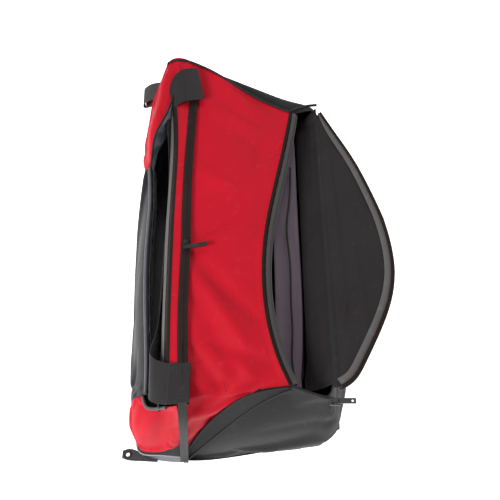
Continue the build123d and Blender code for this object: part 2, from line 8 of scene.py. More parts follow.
import bpy
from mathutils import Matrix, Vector


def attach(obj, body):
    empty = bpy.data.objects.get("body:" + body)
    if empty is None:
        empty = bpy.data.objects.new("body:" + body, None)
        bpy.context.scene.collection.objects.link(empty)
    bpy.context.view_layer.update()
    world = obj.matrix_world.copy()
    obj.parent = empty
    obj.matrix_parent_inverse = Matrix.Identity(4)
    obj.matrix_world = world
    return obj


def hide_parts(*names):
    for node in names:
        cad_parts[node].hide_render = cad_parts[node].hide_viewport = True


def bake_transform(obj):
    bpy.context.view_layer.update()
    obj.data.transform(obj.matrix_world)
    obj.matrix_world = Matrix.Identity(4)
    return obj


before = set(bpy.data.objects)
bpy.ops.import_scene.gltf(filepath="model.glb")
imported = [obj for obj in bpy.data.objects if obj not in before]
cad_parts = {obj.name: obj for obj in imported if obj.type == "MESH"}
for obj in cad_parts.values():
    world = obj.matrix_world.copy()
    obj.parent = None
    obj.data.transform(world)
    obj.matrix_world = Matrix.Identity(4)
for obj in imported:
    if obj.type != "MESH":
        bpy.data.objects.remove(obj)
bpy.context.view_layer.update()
MM = 0.001
SLOPE = math.tan(math.radians(2.5))
SETTLING_FRAMES = 14


# ---------------------------------------------------------------- finishes

def start_group(name, inputs, outputs):
    group = bpy.data.node_groups.new(name, "ShaderNodeTree")
    for label, kind, value in inputs:
        socket = group.interface.new_socket(label, in_out="INPUT", socket_type=kind)
        if value is not None:
            socket.default_value = value
    for label, kind in outputs:
        group.interface.new_socket(label, in_out="OUTPUT", socket_type=kind)
    return group, group.nodes.new("NodeGroupInput"), group.nodes.new("NodeGroupOutput")


def math_node(tree, operation, a, b=None):
    node = tree.nodes.new("ShaderNodeMath")
    node.operation = operation
    for socket, value in zip(node.inputs, (a, b)):
        if value is None:
            continue
        if isinstance(value, (int, float)):
            socket.default_value = value
        else:
            tree.links.new(value, socket)
    return node.outputs[0]


def make_weave_group():
    """Plain weave: warp and weft threads that take turns on top, Scale threads to the metre."""
    group, given, result = start_group(
        "thread_weave",
        [("Vector", "NodeSocketVector", None), ("Scale", "NodeSocketFloat", 700.0)],
        [("Height", "NodeSocketFloat"), ("Gaps", "NodeSocketFloat")])
    split = group.nodes.new("ShaderNodeSeparateXYZ")
    group.links.new(given.outputs["Vector"], split.inputs[0])
    turn = math_node(group, "MULTIPLY", given.outputs["Scale"], math.pi)
    across = math_node(group, "SINE", math_node(group, "MULTIPLY", split.outputs[0], turn))
    along = math_node(group, "SINE", math_node(group, "MULTIPLY", split.outputs[1], turn))
    both = math_node(group, "MULTIPLY", across, along)
    height = math_node(group, "ABSOLUTE", both)
    group.links.new(math_node(group, "POWER", height, 0.5), result.inputs["Height"])
    # Gaps marks the grooves between threads, which the finishes darken as painted shade.
    group.links.new(math_node(group, "LESS_THAN", height, 0.08), result.inputs["Gaps"])
    return group


def make_wear_group():
    """Slow changes of shade over the cloth, and light scuffs."""
    group, given, result = start_group(
        "cloth_wear",
        [("Vector", "NodeSocketVector", None), ("Size", "NodeSocketFloat", 9.0)],
        [("Shade", "NodeSocketFloat"), ("Scuffs", "NodeSocketFloat")])
    slow = group.nodes.new("ShaderNodeTexNoise")
    slow.inputs["Detail"].default_value = 4
    group.links.new(given.outputs["Vector"], slow.inputs["Vector"])
    group.links.new(given.outputs["Size"], slow.inputs["Scale"])
    group.links.new(slow.outputs["Fac"], result.inputs["Shade"])
    fine = group.nodes.new("ShaderNodeTexNoise")
    fine.inputs["Detail"].default_value = 8
    fine.inputs["Roughness"].default_value = 0.7
    group.links.new(given.outputs["Vector"], fine.inputs["Vector"])
    group.links.new(math_node(group, "MULTIPLY", given.outputs["Size"], 7.0), fine.inputs["Scale"])
    ramp = group.nodes.new("ShaderNodeValToRGB")
    ramp.color_ramp.elements[0].position = 0.58
    ramp.color_ramp.elements[1].position = 0.78
    group.links.new(fine.outputs["Fac"], ramp.inputs["Fac"])
    group.links.new(ramp.outputs["Color"], result.inputs["Scuffs"])
    return group


def make_grain_group():
    """Pebbled grain of coated vinyl."""
    group, given, result = start_group(
        "vinyl_grain",
        [("Vector", "NodeSocketVector", None), ("Scale", "NodeSocketFloat", 420.0)],
        [("Height", "NodeSocketFloat")])
    cells = group.nodes.new("ShaderNodeTexVoronoi")
    cells.feature = "SMOOTH_F1"
    group.links.new(given.outputs["Vector"], cells.inputs["Vector"])
    group.links.new(given.outputs["Scale"], cells.inputs["Scale"])
    noise = group.nodes.new("ShaderNodeTexNoise")
    noise.inputs["Detail"].default_value = 5
    group.links.new(given.outputs["Vector"], noise.inputs["Vector"])
    group.links.new(math_node(group, "MULTIPLY", given.outputs["Scale"], 0.25), noise.inputs["Scale"])
    group.links.new(math_node(group, "ADD", cells.outputs["Distance"], noise.outputs["Fac"]),
                    result.inputs["Height"])
    return group


WEAVE = make_weave_group()
WEAR = make_wear_group()
GRAIN = make_grain_group()


def place_group(tree, group, vector, **values):
    node = tree.nodes.new("ShaderNodeGroup")
    node.node_tree = group
    tree.links.new(vector, node.inputs["Vector"])
    for label, value in values.items():
        node.inputs[label].default_value = value
    return node


def finish_material(name, deep, bright, rough, surface="weave", scale=700.0, bump=0.25, relief=0.0004,
                    sheen=0.0, metal=0.0, coat=0.0, scuff=(0.3, 0.3, 0.3), wear=0.12, coords="UV",
                    size=9.0, gloss=0.12):
    """One finish: two shades that drift into each other, scuffs, painted shade in the grooves of a weave,
    and the relief of its surface.
    """
    material = bpy.data.materials.new(name)
    material.use_nodes = True
    tree = material.node_tree
    shader = tree.nodes["Principled BSDF"]
    place = tree.nodes.new("ShaderNodeTexCoord")
    worn = place_group(tree, WEAR, place.outputs["Object"], Size=size)
    shade = tree.nodes.new("ShaderNodeMix")
    shade.data_type = "RGBA"
    shade.inputs["A"].default_value = (*deep, 1)
    shade.inputs["B"].default_value = (*bright, 1)
    tree.links.new(worn.outputs["Shade"], shade.inputs["Factor"])
    marks = tree.nodes.new("ShaderNodeMix")
    marks.data_type = "RGBA"
    marks.inputs["B"].default_value = (*scuff, 1)
    tree.links.new(math_node(tree, "MULTIPLY", worn.outputs["Scuffs"], wear), marks.inputs["Factor"])
    tree.links.new(shade.outputs["Result"], marks.inputs["A"])
    colour = marks.outputs["Result"]
    if surface == "weave":
        relief_node = place_group(tree, WEAVE, place.outputs[coords], Scale=scale)
        # Painted shade: the grooves between the threads are darkened towards a deeper copy of the cloth
        # colour.
        gap_shade = tree.nodes.new("ShaderNodeMix")
        gap_shade.data_type = "RGBA"
        gap_shade.inputs["B"].default_value = (*[channel * 0.6 for channel in deep], 1)
        depth = math_node(tree, "MULTIPLY", relief_node.outputs["Gaps"], 0.35)
        tree.links.new(depth, gap_shade.inputs["Factor"])
        tree.links.new(colour, gap_shade.inputs["A"])
        colour = gap_shade.outputs["Result"]
    else:
        relief_node = place_group(tree, GRAIN, place.outputs["Object"], Scale=scale)
    tree.links.new(colour, shader.inputs["Base Color"])
    bump_node = tree.nodes.new("ShaderNodeBump")
    bump_node.inputs["Strength"].default_value = bump
    bump_node.inputs["Distance"].default_value = relief
    tree.links.new(relief_node.outputs["Height"], bump_node.inputs["Height"])
    tree.links.new(bump_node.outputs["Normal"], shader.inputs["Normal"])
    spread = math_node(tree, "MULTIPLY", worn.outputs["Shade"], 0.16)
    tree.links.new(math_node(tree, "ADD", spread, rough - 0.08), shader.inputs["Roughness"])
    shader.inputs["Metallic"].default_value = metal
    shader.inputs["Specular IOR Level"].default_value = gloss
    shader.inputs["Sheen Weight"].default_value = sheen
    shader.inputs["Sheen Roughness"].default_value = 0.4
    shader.inputs["Coat Weight"].default_value = coat
    shader.inputs["Coat Roughness"].default_value = 0.25
    return material


RED = finish_material("red_nylon_cloth", (0.39, 0.003, 0.012), (0.57, 0.006, 0.022), 0.62, sheen=0.02,
                      scuff=(0.75, 0.05, 0.08), wear=0.3, scale=620)
BLACK = finish_material("black_nylon_cloth", (0.013, 0.013, 0.014), (0.030, 0.030, 0.032), 0.7, sheen=0.05,
                        scuff=(0.09, 0.09, 0.095), wear=0.4, scale=620)
BAND = finish_material("near_band_cloth", (0.013, 0.013, 0.013), (0.026, 0.026, 0.027), 0.75, sheen=0.03,
                       scuff=(0.06, 0.06, 0.06), wear=0.3, scale=800)
VINYL = finish_material("black_vinyl", (0.010, 0.010, 0.012), (0.025, 0.025, 0.028), 0.5, surface="grain",
                        scale=380, bump=0.3, relief=0.0006, scuff=(0.12, 0.125, 0.14), wear=0.3,
                        size=22, gloss=0.1)
SLATE = finish_material("slate_vinyl", (0.055, 0.055, 0.068), (0.115, 0.115, 0.135), 0.42, surface="grain",
                        scale=380, bump=0.3, relief=0.0006, coat=0.1, scuff=(0.3, 0.31, 0.34), wear=0.4,
                        size=30, gloss=0.4)
INSIDE = finish_material("black_lining_cloth", (0.010, 0.008, 0.009), (0.022, 0.018, 0.020), 0.8, scale=520,
                         scuff=(0.05, 0.045, 0.05), wear=0.3)
SILVER = finish_material("coated_lining_back", (0.10, 0.12, 0.15), (0.42, 0.47, 0.54), 0.3, surface="grain",
                         scale=200, bump=0.5, relief=0.0015, coat=0.3, scuff=(0.5, 0.52, 0.56), wear=0.4,
                         size=40, gloss=0.5)
LID_LINING = finish_material("charcoal_lining_cloth", (0.017, 0.014, 0.015), (0.031, 0.027, 0.028), 0.68,
                             scale=520, scuff=(0.07, 0.066, 0.07), wear=0.3, sheen=0.05)
MAUVE = finish_material("grey_mauve_mesh", (0.125, 0.094, 0.116), (0.200, 0.156, 0.188), 0.72, scale=420,
                        bump=0.5, scuff=(0.2, 0.18, 0.2), wear=0.3, sheen=0.08)
FACING = finish_material("grey_facing_tape", (0.085, 0.082, 0.080), (0.135, 0.130, 0.128), 0.6, scale=520,
                         bump=0.4, scuff=(0.3, 0.3, 0.3), wear=0.4)
PIPING = finish_material("black_piping", (0.014, 0.013, 0.013), (0.030, 0.029, 0.029), 0.55, surface="grain",
                         scale=900, scuff=(0.1, 0.1, 0.1), wear=0.3)
PALE_PIPING = finish_material("pale_grey_piping", (0.24, 0.24, 0.25), (0.42, 0.42, 0.43), 0.5,
                              surface="grain", scale=900, scuff=(0.6, 0.6, 0.6), wear=0.4)
WEBBING = finish_material("ribbed_webbing", (0.018, 0.016, 0.016), (0.040, 0.037, 0.037), 0.62, scale=430,
                          bump=0.7, relief=0.0008, scuff=(0.1, 0.095, 0.095), wear=0.35, sheen=0.08)
TAB_WEBBING = finish_material("ribbed_webbing_tab", (0.045, 0.043, 0.043), (0.09, 0.088, 0.088), 0.6,
                              scale=430, bump=0.6, relief=0.0008, coords="Object",
                              scuff=(0.16, 0.16, 0.16), wear=0.4)
ZIP_CLOTH = finish_material("zip_tape_cloth", (0.013, 0.008, 0.007), (0.026, 0.015, 0.013), 0.7, scale=900,
                            scuff=(0.08, 0.06, 0.06), wear=0.3)
ZIP_TEETH = finish_material("zip_teeth_plastic", (0.015, 0.011, 0.010), (0.030, 0.022, 0.020), 0.42,
                            surface="grain", scale=1500, scuff=(0.14, 0.13, 0.12), wear=0.4)
DARK_METAL = finish_material("blackened_metal", (0.035, 0.034, 0.034), (0.075, 0.073, 0.072), 0.36,
                             surface="grain", scale=1600, bump=0.12, metal=0.75, scuff=(0.3, 0.29, 0.28),
                             wear=0.6, size=60)
NICKEL = finish_material("nickel_plate", (0.52, 0.51, 0.50), (0.72, 0.71, 0.70), 0.28, surface="grain",
                         scale=1600, bump=0.1, metal=1.0, scuff=(0.3, 0.29, 0.28), wear=0.6, size=60)
THREAD = finish_material("sewing_thread", (0.035, 0.033, 0.033), (0.075, 0.072, 0.072), 0.6,
                         surface="grain", scale=2500, bump=0.2)
RED_THREAD = finish_material("red_sewing_thread", (0.34, 0.006, 0.014), (0.52, 0.01, 0.025), 0.6,
                             surface="grain", scale=2500, bump=0.2)
BOARD = finish_material("stiff_board", (0.012, 0.012, 0.012), (0.024, 0.024, 0.024), 0.6, surface="grain",
                        scale=700, scuff=(0.06, 0.06, 0.06), wear=0.4)
FOAM = finish_material("grey_foam", (0.13, 0.13, 0.13), (0.22, 0.22, 0.22), 0.9, surface="grain", scale=900,
                       bump=0.6, relief=0.001)


# ---------------------------------------------------------------- tools of the sewing room

def only(piece):
    bpy.ops.object.select_all(action="DESELECT")
    piece.select_set(True)
    bpy.context.view_layer.objects.active = piece


def apply_modifier(piece, kind, **settings):
    only(piece)
    modifier = piece.modifiers.new(kind.title(), kind)
    for label, value in settings.items():
        setattr(modifier, label, value)
    bpy.ops.object.modifier_apply(modifier=modifier.name)


def mix(a, b, share):
    return tuple(p + (q - p) * share for p, q in zip(a, b))


def lay_grid(name, rows):
    """Grid primitive whose points are moved to the cage, row by row."""
    down, across = len(rows) - 1, len(rows[0]) - 1
    bpy.ops.object.select_all(action="DESELECT")
    bpy.ops.mesh.primitive_grid_add(x_subdivisions=across, y_subdivisions=down, size=1)
    piece = bpy.context.object
    piece.name = name
    piece.data.name = name
    for vertex in piece.data.vertices:
        column = round((vertex.co.x + 0.5) * across)
        row = round((vertex.co.y + 0.5) * down)
        vertex.co = Vector(rows[row][column]) * MM
    return piece


def soften(piece, levels):
    apply_modifier(piece, "SUBSURF", levels=levels, render_levels=levels,
                   boundary_smooth="PRESERVE_CORNERS")


def mean_runs(rows):
    """How long a cage is in metres, on average: along its rows, and across them."""
    def run(line):
        return sum((Vector(b) - Vector(a)).length for a, b in zip(line, line[1:])) * MM
    along_rows = sum(run(row) for row in rows) / len(rows)
    across_rows = sum(run(column) for column in zip(*rows)) / len(rows[0])
    return along_rows, across_rows


def true_size_map(piece, rows):
    """The weave's map is in metres, so its threads have one size on every piece."""
    wide, long = mean_runs(rows)
    for loop in piece.data.uv_layers.active.data:
        loop.uv = (loop.uv.x * wide, loop.uv.y * long)


def border_of(piece):
    """Points on the open edge of a piece."""
    count = {}
    for polygon in piece.data.polygons:
        for key in polygon.edge_keys:
            count[key] = count.get(key, 0) + 1
    return sorted({v for key, times in count.items() if times == 1 for v in key})


def settle_cloth(piece, slack, pressure=0.0, cap=0.006):
    """Lets a sewn-in panel find its own creases: its border stays, the rest is a little too big."""
    group = piece.vertex_groups.new(name="sewn")
    group.add(border_of(piece), 1.0, "REPLACE")
    start = [v.co.copy() for v in piece.data.vertices]
    modifier = piece.modifiers.new("Cloth", "CLOTH")
    cloth = modifier.settings
    cloth.quality = 5
    cloth.mass = 0.25
    cloth.tension_stiffness = 12
    cloth.compression_stiffness = 12
    cloth.bending_stiffness = 0.4
    cloth.vertex_group_mass = "sewn"
    cloth.shrink_min = -slack
    cloth.effector_weights.gravity = 0.25
    if pressure:
        cloth.use_pressure = True
        cloth.uniform_pressure_force = pressure
    modifier.point_cache.frame_start = 1
    modifier.point_cache.frame_end = SETTLING_FRAMES
    scene = bpy.context.scene
    for step in range(1, SETTLING_FRAMES + 1):
        scene.frame_set(step)
    only(piece)
    bpy.ops.object.modifier_apply(modifier=modifier.name)
    scene.frame_set(1)
    for vertex, before in zip(piece.data.vertices, start):
        move = vertex.co - before
        if move.length > cap:
            vertex.co = before + move * (cap / move.length)
    piece.vertex_groups.clear()


def fold(piece, start, end, width, height):
    """A soft crease along a line: raised when height is positive, pressed in when negative."""
    a, b = Vector(start) * MM, Vector(end) * MM
    line = b - a
    for vertex in piece.data.vertices:
        share = (vertex.co - a).dot(line) / line.length_squared
        if share < -0.2 or share > 1.2:
            continue
        near = a + line * min(max(share, 0.0), 1.0)
        off = (vertex.co - near).length / (width * MM)
        if off < 2.6:
            ends = math.sin(math.pi * (share + 0.2) / 1.4) ** 0.7
            vertex.co += vertex.normal * (height * MM * ends * math.exp(-off * off))


def give_thickness(piece, thickness, materials):
    """Wall of the given thickness behind the outer face; the inner face takes the second material."""
    for material in materials:
        piece.data.materials.append(material)
    second = len(materials) - 1
    apply_modifier(piece, "SOLIDIFY", thickness=thickness * MM, offset=-1.0, material_offset=second,
                   thickness_clamp=1.0)
    only(piece)
    bpy.ops.object.shade_smooth_by_angle(angle=math.radians(50))


def face_outwards(piece, outward):
    """Turns the sheet over when its faces look away from the outward direction."""
    facing = sum((p.normal * p.area for p in piece.data.polygons), Vector())
    if facing.dot(Vector(outward)) > 0:
        return
    only(piece)
    bpy.ops.object.mode_set(mode="EDIT")
    bpy.ops.mesh.select_all(action="SELECT")
    bpy.ops.mesh.flip_normals()
    bpy.ops.object.mode_set(mode="OBJECT")


def sew_panel(name, rows, materials, levels=3, thickness=2.0, slack=0.0, pressure=0.0, cap=0.006,
              out=(0, 0, 1), folds=(), extra=1):
    """Sheet of cloth from its cage: softened, settled, creased, and given its thickness."""
    piece = lay_grid(name, rows)
    soften(piece, levels)
    true_size_map(piece, rows)
    face_outwards(piece, out)
    if slack or pressure:
        settle_cloth(piece, slack, pressure, cap)
    if extra:
        soften(piece, extra)
    for crease in folds:
        fold(piece, *crease)
    give_thickness(piece, thickness, materials)
    return piece


def lead_cord(name, points, radius, material, closed=False):
    """Round piping along a smooth line."""
    curve = bpy.data.curves.new(name, "CURVE")
    curve.dimensions = "3D"
    spline = curve.splines.new("NURBS")
    spline.points.add(len(points) - 1)
    for target, point in zip(spline.points, points):
        target.co = (*(Vector(point) * MM), 1)
    spline.order_u = 3
    spline.use_endpoint_u = not closed
    spline.use_cyclic_u = closed
    spline.resolution_u = 6
    curve.bevel_depth = radius * MM
    curve.bevel_resolution = 3
    curve.use_fill_caps = True
    piece = bpy.data.objects.new(name, curve)
    bpy.context.scene.collection.objects.link(piece)
    only(piece)
    bpy.ops.object.convert(target="MESH")
    piece = bpy.context.object
    piece.data.materials.clear()
    piece.data.materials.append(material)
    bpy.ops.object.shade_smooth()
    return piece


def along(points, step):
    """Points at even steps on a polyline."""
    line = [Vector(p) for p in points]
    total = sum((b - a).length for a, b in zip(line, line[1:]))
    count = max(1, int(total / step))
    found, gone, index = [], 0.0, 0
    for number in range(count + 1):
        target = total * number / count
        while index < len(line) - 2 and gone + (line[index + 1] - line[index]).length < target:
            gone += (line[index + 1] - line[index]).length
            index += 1
        stretch = line[index + 1] - line[index]
        share = (target - gone) / stretch.length if stretch.length else 0
        found.append((line[index] + stretch * share, stretch.normalized()))
    return found


def stitch_row(name, points, material, ground=None, step=4.2, length=2.8, radius=0.35, lift=0.15):
    """A row of lockstitches, each a small six-sided bead, laid on the cloth below it."""
    verts, faces = [], []
    for centre, way in along(points, step):
        normal = Vector((0, 0, 1))
        middle = centre * MM
        if ground:
            hit, spot, facing, _ = ground.closest_point_on_mesh(middle)
            if hit:
                middle, normal = spot, facing
        side = way.cross(normal).normalized()
        up = side.cross(way).normalized()
        middle = middle + up * lift * MM
        base = len(verts)
        ring = [(-0.5, 0.3), (-0.3, 1.0), (0.3, 1.0), (0.5, 0.3)]
        for share, size in ring:
            for corner in range(4):
                turn = math.pi / 4 + corner * math.pi / 2
                out = side * math.cos(turn) + up * math.sin(turn)
                verts.append(middle + way * (length * MM * share) + out * (radius * MM * size))
        for level in range(3):
            for corner in range(4):
                a = base + level * 4 + corner
                b = base + level * 4 + (corner + 1) % 4
                faces.append((a, b, b + 4, a + 4))
        faces.append((base, base + 1, base + 2, base + 3)[::-1])
        faces.append((base + 12, base + 13, base + 14, base + 15))
    mesh = bpy.data.meshes.new(name)
    mesh.from_pydata([tuple(v) for v in verts], [], faces)
    mesh.materials.append(material)
    piece = bpy.data.objects.new(name, mesh)
    bpy.context.scene.collection.objects.link(piece)
    only(piece)
    bpy.ops.object.mode_set(mode="EDIT")
    bpy.ops.mesh.select_all(action="SELECT")
    bpy.ops.mesh.normals_make_consistent(inside=False)
    bpy.ops.object.mode_set(mode="OBJECT")
    return piece


def strap(name, edge_a, edge_b, material, thickness=2.4, ribs=4, levels=3):
    """Webbing from its two edges, given its thickness and a small bevel."""
    rows = [[mix(a, b, k / ribs) for k in range(ribs + 1)] for a, b in zip(edge_a, edge_b)]
    piece = lay_grid(name, rows)
    soften(piece, levels)
    true_size_map(piece, rows)
    give_thickness(piece, thickness, [material])
    apply_modifier(piece, "BEVEL", width=0.5 * MM, segments=2, limit_method="ANGLE")
    only(piece)
    bpy.ops.object.shade_smooth_by_angle(angle=math.radians(50))
    return piece


def sewn_on(piece, body, slot, *nodes):
    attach(piece, body)
    if nodes:
        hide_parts(*nodes)


def as_sheet(piece, rows, held, *rests_on):
    """Works out the mean runs of a sheet's own cage and does nothing more with them. Its flat size is only
    the mean run of its own cage, not a known cut size.
    """
    wide, long = mean_runs(rows)


# ---------------------------------------------------------------- the bag's seam lines

ZIP_LINE = [(-345, -112, 204), (-292, -111, 199), (-200, -113, 200), (-100, -114, 204), (0, -111, 208),
            (42, -109, 210), (90, -109, 212), (170, -108, 215), (240, -104, 219), (300, -99, 221)]

RIM_LINE = [(-248, 76, 219), (-200, 68, 221), (-130, 55, 224), (-50, 38, 227), (20, 25, 231), (85, 19, 234),
            (150, 20, 237), (205, 27, 239), (245, 37, 241), (272, 46, 242), (287, 53, 242.5), (300, 58, 243)]

FRONT_ROWS = [
    [(-384, -112, 213), (-355, -66, 214), (-318, -18, 208), (-280, 26, 212), RIM_LINE[0]],
    [(-300, -112, 200), (-285, -60, 215), (-262, -10, 217), (-235, 30, 219), RIM_LINE[1]],
    [(-200, -113, 200), (-190, -62, 213), (-170, -12, 221), (-150, 26, 222), RIM_LINE[2]],
    [(-100, -114, 204), (-95, -64, 217), (-80, -16, 224), (-65, 14, 226), RIM_LINE[3]],
    [(0, -111, 208), (0, -66, 220), (5, -22, 228), (10, 5, 229), RIM_LINE[4]],
    [(90, -109, 212), (88, -66, 224), (86, -24, 231), (86, 0, 232), RIM_LINE[5]],
    [(170, -108, 215), (165, -66, 227), (158, -24, 234), (154, 0, 235), RIM_LINE[6]],
    [(240, -104, 219), (232, -62, 230), (222, -20, 237), (212, 5, 238), RIM_LINE[7]],
    [(300, -99, 221), (285, -56, 231), (268, -12, 238), (255, 16, 240), RIM_LINE[8]],
    [(335, -100, 186), (318, -56, 213), (293, -10, 235), (277, 24, 240), RIM_LINE[9]],
    [(347, -108, 100), (332, -74, 150), (306, -30, 205), (289, 20, 238), RIM_LINE[10]],
    [(352, -117, 5), (334, -92, 85), (313, -45, 168), (299, 6, 226), RIM_LINE[11]],
]
NEAR_SEAM = FRONT_ROWS[-1]
FAR_SEAM = FRONT_ROWS[0]

SHOULDER = [(-384, -112, 213), (-345, -135, 211), (-312, -148, 209), (-262, -140, 202), (-180, -134, 199),
            (-90, -134, 201), (0, -133, 204), (90, -130, 208), (170, -128, 211), (240, -124, 214),
            (305, -122, 212)]
SHOULDER_INNER = [(-384, -112, 213), (-345, -112, 206), (-300, -112, 200), (-262, -112, 199),
                  (-180, -113, 201), (-90, -114, 204), (0, -111, 208), (90, -109, 212), (170, -108, 215),
                  (240, -104, 219), (302, -99, 221)]


def build_front():
    """Red top, from the front zipper to the mouth, and down over the near corner to the strap."""
    panel = sew_panel(
        "front_panel_cloth", FRONT_ROWS, [RED, INSIDE], slack=0.012, cap=0.004, thickness=1.2,
        folds=[((70, -88, 216), (190, 10, 236), 13, -5.8), ((100, -92, 216), (225, -10, 236), 11, 4.6),
               ((150, -90, 218), (268, -20, 236), 14, -5.8), ((215, -75, 226), (262, 30, 240), 11, -4.6),
               ((235, -90, 220), (300, -40, 220), 11, -5.8), ((30, -92, 212), (-40, -10, 226), 15, -5.2),
               ((40, -92, 212), (20, -10, 228), 11, 3.0), ((-240, -60, 214), (-150, 40, 222), 20, -4.1),
               ((-340, -66, 214), (-270, 10, 214), 13, 4.6), ((318, -85, 190), (285, -20, 232), 10, -4.6),
               ((-200, 30, 222), (-90, 10, 226), 14, -3.5), ((-300, -70, 212), (-220, 20, 218), 12, -4.1),
               ((250, -30, 234), (296, 20, 238), 9, 3.5), ((-120, -90, 208), (-60, -20, 222), 14, 3.5)])
    sewn_on(panel, "shell", "red_nylon", "front_panel")
    as_sheet(panel, FRONT_ROWS, "stretched", "base_panel")
    middle = [mix(mix(a, b, 0.5), (a[0], b[1], b[2] + 9), 0.25) for a, b in zip(SHOULDER_INNER, SHOULDER)]
    rows = [SHOULDER_INNER, middle, SHOULDER]
    strip = sew_panel("shoulder_strip_cloth", rows, [RED, INSIDE], thickness=2.0, slack=0.006, cap=0.002,
                      out=(0, -1, 0.5))
    sewn_on(strip, "shell", "red_nylon")
    as_sheet(strip, rows, "stretched", "base_panel")
    return panel


def build_gap_edge():
    """Black tape and grey facing on the inner edge of the pocket's opening, and the wall below it."""
    edge = SHOULDER[2:]
    outer = [(x, y - 1, z + 0.5) for x, y, z in edge]
    under = [(x, y - 9, z - 9) for x, y, z in edge]
    rows = [[(x, y + 6, z - 3) for x, y, z in edge], outer,
            [(x, y - 7, z - 2) for x, y, z in edge], under]
    tape = sew_panel("gap_edge_tape", rows, [ZIP_CLOTH], thickness=1.4, out=(0, -1, 0.6))
    sewn_on(tape, "shell", "black_binding")
    wave = [0, 2, 5, 3, 4, 3, 2, 3, 1]
    face_a = [(x, y - 10, z - 9) for x, y, z in edge]
    face_b = [(x, y - 13 - w * 0.6, z - 14) for (x, y, z), w in zip(edge, wave)]
    face_c = [(x, y - 14 - w, z - 26) for (x, y, z), w in zip(edge, wave)]
    facing = sew_panel("gap_facing_tape", [face_a, face_b, face_c], [FACING], thickness=1.2,
                        out=(0, -1, 0.6))
    sewn_on(facing, "shell", "grey_binding")
    xs = [-352, -300, -200, -100, 0, 100, 200, 290, 314]
    heights = ((-140, 190), (-146, 150), (-143, 90), (-142, 40), (-141, 5))
    rows = [[(x, y, z) for x in xs] for y, z in heights]
    # Painted light: this black nylon wall takes the lighter charcoal lining colour on its outer face,
    # standing for light that reaches into the pocket.
    wall = sew_panel("inner_front_wall_cloth", rows, [LID_LINING, INSIDE], slack=0.02, cap=0.004,
                      out=(0, -1, 0))
    sewn_on(wall, "shell", "black_nylon", "front_inner_wall")
    as_sheet(wall, rows, "stretched", "base_panel")


# ---------------------------------------------------------------- front pocket and the two red lobes

FAR_LOBE = [
    [(-384, -112, 213), (-393, -138, 221), (-386, -166, 221), (-380, -174, 188), (-372, -166, 110),
     (-358, -150, 4)],
    [(-345, -135, 211), (-356, -156, 224), (-352, -184, 222), (-348, -193, 180), (-344, -192, 100),
     (-330, -178, 4)],
    [(-312, -150, 209), (-314, -162, 219), (-308, -180, 218), (-306, -199, 175), (-303, -203, 95),
     (-296, -192, 4)],
    [(-270, -156, 206), (-274, -170, 214), (-268, -190, 209), (-266, -208, 165), (-264, -212, 90),
     (-262, -200, 4)],
    [(-238, -172, 200), (-240, -184, 205), (-236, -200, 197), (-232, -213, 155), (-230, -215, 85),
     (-230, -202, 4)],
    [(-205, -188, 190), (-206, -194, 191), (-205, -203, 180), (-202, -211, 140), (-200, -214, 75),
     (-200, -200, 4)],
    [(-160, -192, 154), (-160, -198, 158), (-160, -204, 148), (-160, -210, 115), (-160, -212, 65),
     (-160, -200, 4)],
]

NEAR_LOBE = [
    [(284, -172, 146), (284, -186, 140), (287, -197, 112), (291, -200, 62), (292, -195, 9)],
    [(303, -168, 150), (306, -186, 140), (318, -201, 110), (325, -206, 62), (324, -200, 9)],
    [(310, -156, 156), (318, -172, 146), (336, -189, 112), (346, -194, 62), (346, -188, 14)],
    [(312, -142, 166), (324, -152, 150), (338, -160, 114), (346, -162, 72), (346, -156, 30)],
    [(316, -128, 186), (328, -134, 160), (339, -134, 124), (345, -134, 88), (346, -131, 50)],
    [(320, -110, 208), (334, -108, 168), (340, -110, 128), (342, -114, 92), (343, -117, 64)],
]
CORNER_FOOT = [(292, -197, 3), (324, -200, 3), (347, -189, 3), (355, -162, 3), (358, -136, 3),
               (358, -116, 3)]
WEDGE = [0.05, 0.08, 0.14, 0.28, 0.48, 0.66]

POCKET_X = [-160, -100, -40, 20, 80, 140, 200, 250, 286]
POCKET_TOP_Y = [-198, -191, -190, -190, -187, -182, -176, -171, -170]
POCKET_BELLY_Y = [-208, -213, -216, -217, -215, -211, -206, -201, -198]


def build_far_lobe():
    lobe = sew_panel("far_lobe_cloth", FAR_LOBE, [RED, SILVER], thickness=2.0, slack=0.02, pressure=2.0,
                     cap=0.007, out=(0, -1, 0.3),
                     folds=[((-372, -150, 222), (-330, -168, 221), 8, 3.5),
                            ((-300, -196, 190), (-228, -206, 170), 9, -3.5),
                            ((-340, -188, 150), (-270, -210, 100), 12, -4.0),
                            ((-250, -170, 205), (-262, -206, 150), 8, 2.5),
                            ((-220, -208, 150), (-240, -212, 60), 10, -3.0)])
    sewn_on(lobe, "shell", "red_nylon", "front_lobe_far")
    edge = [row[0] for row in FAR_LOBE[2:]]
    binding = lead_cord("far_lobe_binding", [(x, y + 1, z) for x, y, z in edge], 1.9, PIPING)
    sewn_on(binding, "shell", "black_binding")
    inner = [[(x, y + 1, z - 1) for x, y, z in edge], [(x + 4, y + 4, z - 22) for x, y, z in edge],
             [(x + 8, y + 1, z - 46) for x, y, z in edge]]
    flap = sew_panel("far_lobe_lining", inner, [SILVER], thickness=1.0, slack=0.05, cap=0.006)
    sewn_on(flap, "shell", "grey_binding")


